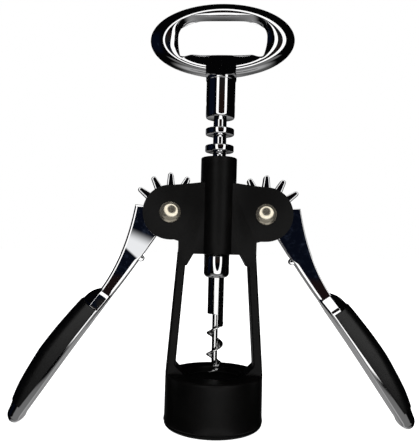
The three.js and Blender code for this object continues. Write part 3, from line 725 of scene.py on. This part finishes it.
def openingCurve(s, steps):
    # the opening's right half from the lip's middle to the top's middle, evenly spaced
    wide, bow, lip, corner = s["openHalfWidth"], s["openRound"], s["lipDrop"], s["cornerDrop"]
    start, bend, end = (s["sideHalf"], -corner), (wide, -lip / 2), (wide, s["openTop"] - bow)
    raw = [(0, -lip), (s["lipHalf"], -lip), (s["cornerHalf"], -corner)]
    raw += [bezier(i / 20, start, bend, end) for i in range(21)]
    raw += arc(wide - bow, s["openTop"] - bow, bow, 0, 90, 20)[1:] + [(0, s["openTop"])]
    lengths = [0]
    for p, q in zip(raw, raw[1:]):
        lengths.append(lengths[-1] + dist(p, q))
    out = []
    for i in range(steps + 1):
        want = lengths[-1] * i / steps
        k = min(max(j for j, reached in enumerate(lengths) if reached <= want + 1e-9), len(raw) - 2)
        out.append(between(raw[k], raw[k + 1], (want - lengths[k]) / max(1e-9, lengths[k + 1] - lengths[k])))
    return out


def roundedSlope(across, tight, wide, footRound, tilt=None, drop=None, steps=14):
    # from a level crest over a round that opens out, down a straight slope and round into a wall, as
    # (across, drop) pairs: either the slope's tilt or its drop is given
    turnAt = radians(ringSet["crestTurn"])
    footRound = min(footRound, across * 0.3)

    def over(w, share):
        first = min(w, turnAt)
        return (share * (tight * sin(first) + wide * (sin(w) - sin(first))),
            share * (tight * (1 - cos(first)) + wide * (cos(first) - cos(w))))

    def laid(w):
        share = min(1.0, across * 0.85 / over(w, 1.0)[0]) if w > 0 else 1.0
        x, y = over(w, share)
        left = max(0.0, across - x - footRound * (1 - sin(w)))
        return share, y + left * tan(w) + footRound * cos(w)

    if tilt is None:
        tilt, high = 0.0, radians(88)
        for _ in range(40):
            middle = (tilt + high) / 2
            if laid(middle)[1] < drop:
                tilt = middle
            else:
                high = middle
    share, drop = laid(tilt)
    crest = [over(tilt * k / steps, share) for k in range(steps + 1)]
    foot = arc(across - footRound, drop, footRound, degrees(tilt) - 90, 0, steps)
    # three points on the slope itself keep its shading flat
    return crest + [between(crest[-1], foot[0], k / 4) for k in (1, 2, 3)] + foot


def makeRing(s):
    right = openingCurve(s, 110)
    loop = right + [(-x, z) for x, z in reversed(right[1:-1])]
    # soften the opening's corners a little
    for _ in range(3):
        loop = [tuple((loop[i - 1][c] + 2 * p[c] + loop[(i + 1) % len(loop)][c]) / 4 for c in (0, 1))
            for i, p in enumerate(loop)]
    rings = []
    half = s["halfThickness"]
    for x, z in loop:
        a = atan2(z / s["halfHeight"], x / s["halfWidth"])
        up = sin(a)
        outer = (s["halfWidth"] * cos(a), s["centre"] + s["halfHeight"] * up)
        crest = (s["crestHalfWidth"] * cos(a), s["crestCentre"] + s["crestHalfHeight"] * up)
        tight, wide, tilt = between(s["side"], s["top"] if up > 0 else s["foot"], up * up)

        def laidOut(end, slope, face):
            reach = dist(crest, end)
            spots = [(between(crest, end, p / reach), (q - half) * face) for p, q in slope]
            return [(px, y, pz) for (px, pz), y in spots]

        outward = roundedSlope(dist(crest, outer), tight, wide, s["outerRound"], drop=half)
        ring = []
        # the opening's top leans: its front edge hangs a little lower than its back edge
        for face, sag in ((1, s["topSag"] * max(0.0, up) ** 1.5), (-1, 0.0)):
            inner = (x, s["centre"] + z - sag)
            inward = roundedSlope(dist(crest, inner), tight, wide, s["innerRound"], radians(tilt))
            run = laidOut(outer, reversed(outward), face) + laidOut(inner, inward[1:], face)
            ring += run if face > 0 else run[:0:-1]
        rings.append(ring)
    return cleanUp(placed(loft("openerRing", rings, loop=True), turned("Z", s["turn"])), 60)


def makeNeck(s):
    # a round stem, and above it a boss whose front and back lean in towards the lip
    radius, boss, shoulder, top = s["radius"], s["bossRadius"], s["shoulder"], s["bossTop"]

    def section(half, z, power=2.0):
        spots = arc(0, 0, 1, 0, 360, 96)[:-1]
        return [(*(half * copysign(abs(c) ** (2 / power), c) for c in spot), z) for spot in spots]

    # the foot's edge starts tight and opens out
    edge = twoRounds(s["edge"], s["edgeWide"], s["edgeTurn"], 7, 6)
    across, footTop = edge[-1]
    rings = [section(radius - across + p, neckFoot + q) for p, q in edge]
    rings += [section(radius, lerp(neckFoot + footTop, shoulder - 0.5, k / 6)) for k in range(1, 7)]
    rings += [section(radius, shoulder - 0.12), section(boss - 0.1, shoulder)]
    for k in range(30):
        up = (top - shoulder) * k / 29
        square = limited((up - s["squareFrom"]) / s["squareRise"])
        rings.append(section(boss, shoulder + 0.1 + up, lerp(2.0, s["squarePower"], square)))
    neck = loft("openerNeck", rings, sharpAngle=50)
    # front and back lean in: they turn quickly from upright to their slope
    lean = tan(radians(s["lean"]))
    for side in (-1, 1):
        cut = []
        for k in range(15):
            up = 0.2 * k + 0.01 * k * k
            down = up - s["leanStart"] * (1 - exp(-up / s["leanStart"]))
            cut.append((side * (boss + 0.02 - down * lean), shoulder + up))
        cut.append((cut[-1][0] - side * (top + 2 - cut[-1][1]) * lean, top + 2))
        cut += [(side * (boss + 4), top + 2), (side * (boss + 4), shoulder)]
        carve(neck, placed(plate("leanCut", cut, boss + 3), turned("Z", 90)))
    placed(neck, turned("Z", ringSet["turn"]))
    drillAcross(cleanUp(neck, 17), s["pinRadius"] + s["pinGap"], radius + 2, neckFoot + s["pinHeight"])
    return cleanUp(neck, 17)


for piece in (makeRing(ringSet), makeNeck(neckSet)):
    dress(piece, "spindle", "dark_chrome", "opener_handle")
print("opener handle made")


# worm

wormSet = dict(shank=3.28, left=14.8, right=20.0, cutAcross=0.7, core=1.2, coreEnd=23.4, flight=3.45,
    pitch=8.75, firstTurn=41.5, turns=2.46, root=2.2, edge=0.5, tipPitch=0.68, fade=0.55, shankEdge=0.16)
# round the flight's section: how far out, and how high from its lower to its upper side
outShares = ((0.125, 0.55), (0.25, 0.93), (0.375, 1.0), (0.5, 1.0), (0.625, 1.0), (0.75, 0.93), (0.875, 0.55))
sideShares = ((0.25, 0.0), (0.375, 0.2), (0.5, 0.5), (0.625, 0.8), (0.75, 1.0), (0.9375, 1.0))


def flightTree():
    # a wedge section swept down a helix, thinning to a point
    tree, ins, outs = groupOf("GeometryNodeTree", "wormFlight",
        {"Radius": 0.0034, "Core": 0.001, "Top": 0.0415, "Pitch": 0.00875, "Turns": 2.46,
        "Tip Pitch": 0.68, "Fade Turns": 0.55, "Root": 0.0022, "Edge": 0.0005, "Steps": 240})

    plus, minus, times = (partial(calc, tree, how) for how in ("ADD", "SUBTRACT", "MULTIPLY"))

    def blend(a, b, share):
        return plus(times(a, minus(1.0, share)), times(b, share))

    def curved(value, spots, last):
        node = add(tree, "FloatCurve", {"Value": value})
        curve = node.mapping.curves[0]
        for x, y in spots:
            curve.points.new(x, y)
        curve.points[0].location = (0, 0)
        curve.points[-1].location = (1, last)
        for point in curve.points:
            point.handle_type = "VECTOR"
        node.mapping.update()
        return node.outputs[0]

    # a grid: X along the helix, Y round the section's corners
    grid = add(tree, "GeometryNodeMeshGrid", {"Size X": 1.0, "Size Y": 1.0, "Vertices X": ins["Steps"],
        "Vertices Y": 9})
    spot = add(tree, "GeometryNodeInputPosition").outputs[0]
    parts = add(tree, "SeparateXYZ", {0: spot}).outputs
    turn = times(plus(parts["X"], 0.5), ins["Turns"])
    angle = times(turn, -2 * pi)
    even = calc(tree, "MINIMUM", turn, calc(tree, "FLOOR", ins["Turns"]))
    slow = times(minus(turn, even), ins["Tip Pitch"])
    height = minus(ins["Top"], times(plus(even, slow), ins["Pitch"]))
    left = calc(tree, "DIVIDE", minus(ins["Turns"], turn), ins["Fade Turns"])
    thin = calc(tree, "MINIMUM", plus(left, 0.06), 1.0)
    inner = blend(ins["Radius"], times(ins["Core"], 0.6), thin)
    root = times(ins["Root"], times(thin, 0.5))
    edge = times(ins["Edge"], times(plus(times(thin, 0.4), 0.6), 0.5))
    index = calc(tree, "DIVIDE", calc(tree, "ROUND", times(plus(parts["Y"], 0.5), 8.0)), 8.0)
    share = curved(index, outShares, 0)
    sign = minus(times(curved(index, sideShares, 0), 2.0), 1.0)
    radius = blend(inner, ins["Radius"], share)
    half = blend(root, edge, share)
    place = add(tree, "CombineXYZ", {
        "X": times(radius, calc(tree, "COSINE", angle)), "Y": times(radius, calc(tree, "SINE", angle)),
        "Z": plus(height, times(sign, half))})
    bent = add(tree, "GeometryNodeSetPosition", {"Geometry": grid.outputs[0], "Position": place.outputs[0]})
    welded = add(tree, "GeometryNodeMergeByDistance", {"Geometry": bent.outputs[0], "Distance": 0.000004})
    return finishTree(tree, welded.outputs[0], ins, outs)


def makeWorm(s):
    top, foot, ledge = collarFoot + 1.0, collarFoot - s["right"], collarFoot - s["left"]
    # support rings keep the long sides' shading even
    profile = [(0, foot)] + arc(s["shank"] - 0.2, foot + 0.2, 0.2, -90, 0, 4)
    profile += [(s["shank"], lerp(foot + 0.2, top, k / 48)) for k in range(1, 49)] + [(0, top)]
    shank = lathe("wormShank", profile, 96)
    side, cut = s["shank"] + 1, s["cutAcross"]
    box = [(-side, foot - 1), (cut, foot - 1), (cut, ledge - 0.5), (cut - 0.5, ledge), (-side, ledge)]
    carve(shank, plate("wormCut", box, side))
    dress(cleanUp(roundEdges(shank, s["shankEdge"], 2), 50), "spindle", "worm_steel", "worm")
    c, end = s["core"], s["coreEnd"]
    profile = [(0, end), (c * 0.35, end + 0.1), (c * 0.75, end + c * 0.9)]
    profile += [(c, lerp(end + c * 2, ledge + 0.5, k / 40)) for k in range(41)] + [(0, ledge + 0.5)]
    core = lathe("wormFlight", profile, 64)
    runNodes(core, flightTree(), {
        "Radius": s["flight"] * mm, "Core": c * mm, "Top": s["firstTurn"] * mm, "Pitch": s["pitch"] * mm,
        "Turns": s["turns"], "Tip Pitch": s["tipPitch"], "Fade Turns": s["fade"], "Root": s["root"] * mm,
        "Edge": s["edge"] * mm, "Material": finishes["worm_steel"]})
    dress(cleanUp(core, 45, mergeAt=0.004), "spindle", "worm_steel", "worm")


makeWorm(wormSet)
print("worm made")


# cross pins

def pinAcross(name, radius, half, height, node, edge=0.15):
    pin = lathe(name, [(0, -half), (radius - edge, -half), (radius, edge - half), (radius, half - edge),
        (radius - edge, half), (0, half)], 48)
    dress(placed(pin, movedTo(0, 0, height) @ turned("Y", 90)), "spindle", "worm_steel", node)


for name, s, outside, foot, node in (("handlePin", neckSet, neckSet["radius"], neckFoot, "handle_pin"),
        ("wormPin", spindleSet, spindleSet["collarRadius"], collarFoot, "worm_pin")):
    pinAcross(name, s["pinRadius"], outside - s["pinIn"], foot + s["pinHeight"], node)


# levers, each made from its pivot out along X, with its back up Z; an edge has the radius of its gentle
# round, the radius of its tight round, and the tilt where one passes into the other

leverSet = dict(thickness=4.6, tip=16.2, root=10.6, step=26.5, teeth=8, shoulderAlong=5.7,
    shoulderOut=13.45, waistAlong=41.0, waistOut=4.75,
    shoulderBend=((0.63, 0.01), (0.29, 0.46)), nubAlong=22.2, nubRadius=1.3, nubRound=0.35,
    nubOut=1.7, nubSunk=0.75, nubInset=0.3, toothRoot=1.65, toothTip=1.1, toothSunk=0.8,
    meshRise=11.5, above=5, rest=55.5541, soft=(2.4, 0.22, 25),
    crisp=(0.7, 0.22, 25), broad=(4.0, 0.22, 18), slim=(0.6, 0.2, 22), toothEdge=(1.7, 0.18, 25))
handleSet = dict(length=105.55, halfWidth=6.0, out=10.3, facetEdge=4.0, facetRound=0.25, facetBend=1.2,
    facetEnd=51.5, crown=0.45, tipRadius=3.2, tipHalfWidth=5.3, edge=0.9, backRound=4.6)
gripSet = dict(start=49.0, end=98.0, proud=0.35, lipStart=1.0, lipEnd=3.0, gap=0.12, edge=0.3,
    blockHalf=9.0, blockTop=14.0, spineHalf=3.6, spineFoot=0.8)
# the inner side's height along the lever
innerLine = [(0, -0.7), (18, -0.85), (27, -0.9), (36, -0.8), (44, -0.48), (54, -0.08), (66, 0.2), (84, 0.3),
    (110, 0.3)]
# share of the handle's length, its +Y half width, its height, and its -Y half width
handleShares = [(0, 0.385, 0.46, 0.385), (0.008, 0.428, 0.49, 0.43), (0.0162, 0.475, 0.53, 0.50),
    (0.035, 0.587, 0.62, 0.602), (0.0536, 0.675, 0.69, 0.704), (0.0909, 0.832, 0.775, 0.908),
    (0.1088, 0.91, 0.795, 1.0), (0.13, 1.0, 0.812, 1.01), (0.2, 1, 0.866, 1), (0.28, 1, 0.912, 1),
    (0.4, 1, 0.97, 1), (0.54, 1, 1, 1), (0.67, 1, 0.955, 1), (0.81, 0.985, 0.87, 0.985)]
# the metal inside the grip: how far along, and its height
spineLine = ((48.5, 5.6), (60, 6.0), (73, 6.4), (86, 5.6), (98.4, 4.6))


def smoothTable(table, t):
    # a smooth curve through the table's rows that never overshoots them
    last = len(table) - 1
    k = min(max(i for i, row in enumerate(table) if row[0] <= t + 1e-9), last - 1)
    span = table[k + 1][0] - table[k][0]
    u = (t - table[k][0]) / span

    def grade(i, c):
        return (table[i + 1][c] - table[i][c]) / (table[i + 1][0] - table[i][0])

    def slope(i, c):
        if i in (0, last):
            return grade(min(i, last - 1), c)
        a, b = grade(i - 1, c), grade(i, c)
        return 0 if a * b <= 0 else 2 * a * b / (a + b)

    return [(2 * u ** 3 - 3 * u * u + 1) * table[k][c] + (u ** 3 - 2 * u * u + u) * span * slope(k, c)
        + (3 * u * u - 2 * u ** 3) * table[k + 1][c] + (u ** 3 - u * u) * span * slope(k + 1, c)
        for c in range(1, len(table[0]))]


def innerSide(along):
    return smoothTable(innerLine, min(along, 109.9))[0]


def leverMatrix(side, restDeg):
    return movedTo(side * headSet["pivotAcross"], 0, headSet["pivotHeight"]) \
        @ turned("Z", 180 if side < 0 else 0) @ turned("Y", restDeg)


def armOutline(s):
    # the arm without the teeth; each point has its kind of edge: whether it is an inner one, and how
    # far in the broad part below the nub (0 to 1)
    root, waist, waistOut = s["root"], s["waistAlong"], s["waistOut"]
    out = []
    for i in range(31):
        x = lerp(root, waist + 3, i / 30)
        out.append((x, innerSide(x), 1, limited((x - s["nubAlong"] + 0.5) / 2.5)))
    out.append((waist + 3, waistOut, 0, 0))
    along, shoulder = s["shoulderAlong"], s["shoulderOut"]
    reach, rise = waist - along, shoulder - waistOut
    bend = [(along + a * reach, waistOut + b * rise) for a, b in ((1, 0), *s["shoulderBend"], (0, 1))]
    out += [bezier(i / 40, *bend) + (0, 0) for i in range(41)]
    start = degrees(atan2(shoulder, along)) + 3
    return out + [spot + (0, 0) for spot in arc(0, 0, root, start, 358, 60)]


def edgeOf(kind):
    # from the flat face outwards, as (distance in, drop) pairs
    edge = twoRounds(*leverSet[kind])
    total = edge[-1][0]
    return [(total + 0.12, 0.0)] + [(total - far, drop) for far, drop in edge]


def makeArm(s, name):
    # the outer edge is crisp on one face and soft on the other, so either lever shows its own in front
    outline = armOutline(s)
    slim, broad = edgeOf("slim"), edgeOf("broad")
    faces = [[[between(p, q, broadness) for p, q in zip(slim, broad)] if isInner else edgeOf(kind)
        for x, z, isInner, broadness in outline] for kind in ("crisp", "soft")]
    reach = s["thickness"]
    arm = edgedPlate(name, [spot[:2] for spot in outline], reach / 2, *faces)
    carve(arm, placed(rod("pivotHole", headSet["rivetHole"], -reach, reach, 64), turned("X", 90)))
    return cleanUp(arm, 50)


def handleSection(along, halfWidth, low, high, facet=0.0, crown=0.0, other=1.0):
    # facet 0 has a round back, facet 1 a flat front, an edge and a flat slope back; other is the
    # -Y side's width as a share of the +Y side's
    s = handleSet
    edge = min(s["edge"], (high - low) * 0.33)
    across, up = min(s["backRound"], halfWidth * 0.9), min(s["backRound"], (high - low) * 0.6)
    up = lerp(up, max(0.5, high - s["facetEdge"]), facet)
    side, brow, r, bend = halfWidth - across, high - up, s["facetRound"], s["facetBend"]
    inY, inZ = -across / hypot(across, up), up / hypot(across, up)
    rise, fall = (halfWidth + inY * r, brow + inZ * r), (side - inY * bend, high - inZ * bend)
    hard = [bezier(i / 4, (halfWidth, brow - r), (halfWidth, brow), rise) for i in range(5)]
    hard += [between(rise, fall, i / 4) for i in (1, 2, 3)]
    hard += [bezier(i / 4, fall, (side, high), (side - 0.4, high)) for i in range(5)]
    soft = [(side + across * c, brow + up * d) for c, d in arc(0, 0, 1, 0, 90, 12)]
    half = arc(halfWidth - edge, low + edge, edge, -90, 0, 8)
    half += [between(p, q, facet) for p, q in zip(soft, hard)]
    inner = halfWidth - edge
    floor = [(lerp(-inner * other, inner, k / 12), low - crown * (1 - (k / 6 - 1) ** 2))
        for k in range(1, 12)]
    return [(along, y, z) for y, z in half + [(-y * other, z) for y, z in reversed(half)] + floor]


def handleRings(grown=0.0, facets=0.0, steps=84):
    s = handleSet
    tip, waist = s["tipRadius"], leverSet["waistAlong"]
    tipCentre = s["length"] - tip
    tipWidth = s["tipHalfWidth"] / s["halfWidth"]
    table = handleShares + [(1.0, tipWidth, 2 * tip / s["out"], tipWidth)]
    rings = []
    for i in range(steps):
        t = (i / steps) ** 1.25
        width, out, otherWidth = smoothTable(table, t)
        along = lerp(waist, tipCentre, t)
        rings.append(handleSection(
            along, s["halfWidth"] * width + grown, innerSide(along), s["out"] * out + grown,
            facets * limited((s["facetEnd"] - along) / 2.0), s["crown"] * min(1.0, t * 4),
            otherWidth / width))
    for out, along in arc(0, tipCentre, tip, 0, 90, 12)[:-1]:
        level = out / tip
        rings.append(handleSection(along, s["tipHalfWidth"] * lerp(0.5, 1, level) + grown, tip - out,
            tip + out + grown, 0.0, s["crown"] * level))
    return rings


def toothTree():
    # one tooth set round the pivot again and again
    tree, ins, outs = groupOf("GeometryNodeTree", "sectorTeeth", {"Count": 8, "First": 0.0, "Step": 0.46})
    spots = add(tree, "GeometryNodeMeshLine",
        {"Count": ins["Count"], "Offset": (0.0, 0.0, 0.0)}, mode="OFFSET")
    index = add(tree, "GeometryNodeInputIndex").outputs[0]
    far = calc(tree, "MULTIPLY_ADD", index, ins["Step"], ins["First"])
    turn = add(tree, "CombineXYZ", {"Y": calc(tree, "MULTIPLY", far, -1.0)})
    copies = add(tree, "GeometryNodeInstanceOnPoints", {
        "Points": spots.outputs[0], "Instance": ins["Geometry"], "Rotation": turn.outputs[0]})
    return finishTree(tree, copies.outputs[0], ins, outs, withInput=False)


teethNodes = toothTree()


def makeTeeth(s, name):
    # a tooth along X, with a round tip
    root, half, tip, foot = s["root"], s["toothRoot"], s["toothTip"], s["root"] - s["toothSunk"]
    outline = [(foot, -half), (root, -half)] + arc(s["tip"] - tip, 0, tip, -90, 90, 14)
    outline += [(root, half), (foot, half)]
    edges = [edgeOf("toothEdge")] * len(outline)
    tooth = edgedPlate(name, outline, s["thickness"] / 2, edges, edges)
    first = 180 - s["meshRise"] + s["rest"] - s["above"] * s["step"]
    return runNodes(tooth, teethNodes, {"Count": s["teeth"], "First": radians(first),
        "Step": radians(s["step"]), "Material": finishes["dark_chrome"]})


def makeNub(s, name):
    r, half = s["nubRound"], s["thickness"] / 2 - s["nubInset"]
    across = s["nubRadius"] - r
    profile = [(0, -half)] + arc(across, r - half, r, -90, 0, 5)
    profile += arc(across, half - r, r, 0, 90, 5) + [(0, half)]
    spot = movedTo(s["nubAlong"], 0, s["nubRadius"] - s["nubOut"] - s["nubSunk"])
    return placed(lathe(name, profile, 48), spot @ turned("X", 90))


def gripBlock(s, gap=0.0):
    half, top = s["blockHalf"], s["blockTop"]
    rings = [[(x, -half, low), (x, half, low), (x, half, top), (x, -half, top)]
        for x, low in ((s["start"] - gap, s["lipStart"] - gap), (s["end"] + gap, s["lipEnd"] - gap))]
    return loft("gripBlock", rings)


def makeLever(side):
    s, g, label = leverSet, gripSet, sideName(side)
    end = label.lower()
    metal = [makeArm(s, "arm" + label), makeNub(s, "nub" + label), makeTeeth(s, "teeth" + label)]
    body = loft("handle" + label, handleRings(facets=1.0))
    cleanUp(carve(body, gripBlock(g, g["gap"])))
    spine = loft("spine" + label, [handleSection(x, g["spineHalf"], g["spineFoot"], z) for x, z in spineLine])
    grip = carve(loft("grip" + label, handleRings(g["proud"])), gripBlock(g), "INTERSECT")
    cleanUp(roundEdges(grip, g["edge"], 3, 40), 50)
    where = leverMatrix(side, s["rest"])
    for piece in metal + [body, spine]:
        dress(placed(piece, where), end + "_lever", "dark_chrome", "lever_" + end)
    dress(placed(grip, where), end + "_lever", "soft_grip", "grip_" + end)


for side in (-1, 1):
    makeLever(side)
print("levers made")


# dark flags close to the arms, at rest and at both limits, seen only in reflections: a painted reflection
# of what an arm's flat front shows of the dark room, set off from what its edges show, and on the left
# flag a painted highlight

flagSet = dict(front=2.9, fromPivot=11.3, clearOfTeeth=17.0, limits=(-33.2, 108.0), broad=1.35,
    left=dict(outer=1.0, slim=0.4), right=dict(outer=0.35, slim=0.0), wayPerMetre=5.747, wayX=0.0386,
    wayZ=-0.4424, night=(0.0022, 0.0032, 0.0072), cloud=(0.016, 0.021, 0.036), cloudPerMetre=420.0,
    cloudShare=(0.50, 0.78), brown=(0.0090, 0.0052, 0.0055), brownBelow=(-0.088, -0.108),
    bright=(0.86, 0.87, 0.88), brightEdges=((0.876, -0.190, -0.182), (0.4, -0.048, -0.082)))


def flagMaterial(s, side):
    material, tree = emptyMaterial("flag" + sideName(side))
    spot = add(tree, "TexCoord").outputs["Object"]
    parts = add(tree, "SeparateXYZ", {0: spot}).outputs
    # the direction in which the flat face shows this spot of the room
    wayX, wayZ = (calc(tree, "MULTIPLY_ADD", parts[c], s["wayPerMetre"], s["way" + c]) for c in "XZ")
    # painted reflection on the arm's flat front: dark navy with cloudy patches, brown where the reflected way
    # points lower
    cloud = add(tree, "TexNoise", {"Vector": spot, "Scale": s["cloudPerMetre"], "Detail": 4.0,
        "Roughness": 0.7})
    night = mixed(tree, step(tree, cloud.outputs["Fac"], *s["cloudShare"]), s["night"], s["cloud"])
    colour = mixed(tree, step(tree, wayZ, *s["brownBelow"]), night, s["brown"])
    # painted highlight: a bright band reflected in the left arm's flat front
    if side < 0:
        above, below = (step(tree, calc(tree, "MULTIPLY_ADD", wayX, slant, wayZ), start, end)
            for slant, start, end in s["brightEdges"])
        colour = mixed(tree, calc(tree, "MULTIPLY", above, below), colour, s["bright"])
    letGlow(tree, colour)
    return material


def makeFlag(s, side, swing, material):
    near = s["clearOfTeeth"] if swing else s["fromPivot"]
    inset = s[sideName(side).lower()]
    shape = [(x, z, lerp(inset["slim"], s["broad"], broadness) if isInner else inset["outer"])
        for x, z, isInner, broadness in armOutline(leverSet)
        if hypot(x, z) > near and -20 < degrees(atan2(z, x)) < 80]
    shape += [spot + (0.0,) for spot in arc(0, 0, near, degrees(atan2(shape[-1][1], shape[-1][0])), 0, 12)]
    corners = []
    for i, (x, z, back) in enumerate(shape):
        before, after = shape[i - 1], shape[(i + 1) % len(shape)]
        dx, dz = after[0] - before[0], after[1] - before[1]
        size = max(1e-6, hypot(dx, dz))
        corners.append((x - dz / size * back, -side * s["front"], z + dx / size * back))
    flag = newPiece(material.name, corners, [tuple(range(len(corners)))])
    placed(flag, leverMatrix(side, leverSet["rest"] - swing))
    flag.data.materials.append(material)
    onlyReflected(flag)


for side in (-1, 1):
    material = flagMaterial(flagSet, side)
    for swing in (0.0, *flagSet["limits"]):
        makeFlag(flagSet, side, swing, material)
print("flags placed")


# pivot rivets

rivetSet = dict(head=4.25, face=5.0, height=1.7, domeRadius=8.8, domeTilt=19.0, rimTilt=56.0, pin=2.45,
    tail=3.4, tailHeight=1.0, tailRound=0.4, washer=0.8, washerHole=2.7, washerEdge=0.12, seatGap=0.2)


def makeRivet(s, side):
    label = sideName(side)
    head, face, tail, tailRound = s["head"], s["face"], s["tail"], s["tailRound"]
    behind = face + s["washer"] + s["seatGap"]
    back = -behind - s["tailHeight"]
    profile = [(0, back), (tail * 0.6, back)] + arc(tail - tailRound, back + 0.5, tailRound, -80, 0, 5)
    profile += [(tail, -behind), (s["pin"], -behind), (s["pin"], face), (head - 0.03, face)]
    # the dome has a flatter middle and a rounder rim
    dome, flat, steep = s["domeRadius"], radians(s["domeTilt"]), radians(s["rimTilt"])
    rim = (head - dome * sin(flat)) / (sin(steep) - sin(flat))
    centre = face + s["height"] - dome
    profile += arc((dome - rim) * sin(flat), centre + (dome - rim) * cos(flat), rim,
        90 - s["rimTilt"], 90 - s["domeTilt"], 14)
    profile += arc(0, centre, dome, 90 - s["domeTilt"], 90, 10)[1:]
    near, far, hole, edge = -face, -face - s["washer"], s["washerHole"], s["washerEdge"]
    ring = [(hole, far), (head - edge, far), (head, far + edge), (head, near), (hole, near)]
    spot = movedTo(side * headSet["pivotAcross"], 0, headSet["pivotHeight"]) @ turned("X", 90)
    for name, outline, node in (("rivet", profile, "pivot_rivet_"), ("washer", ring, "rivet_washer_")):
        piece = placed(lathe(name + label, outline, 96, 35 if name == "rivet" else 40), spot)
        dress(piece, "frame", "warm_nickel", node + label.lower())


for side in (-1, 1):
    makeRivet(rivetSet, side)
print("rivets made")
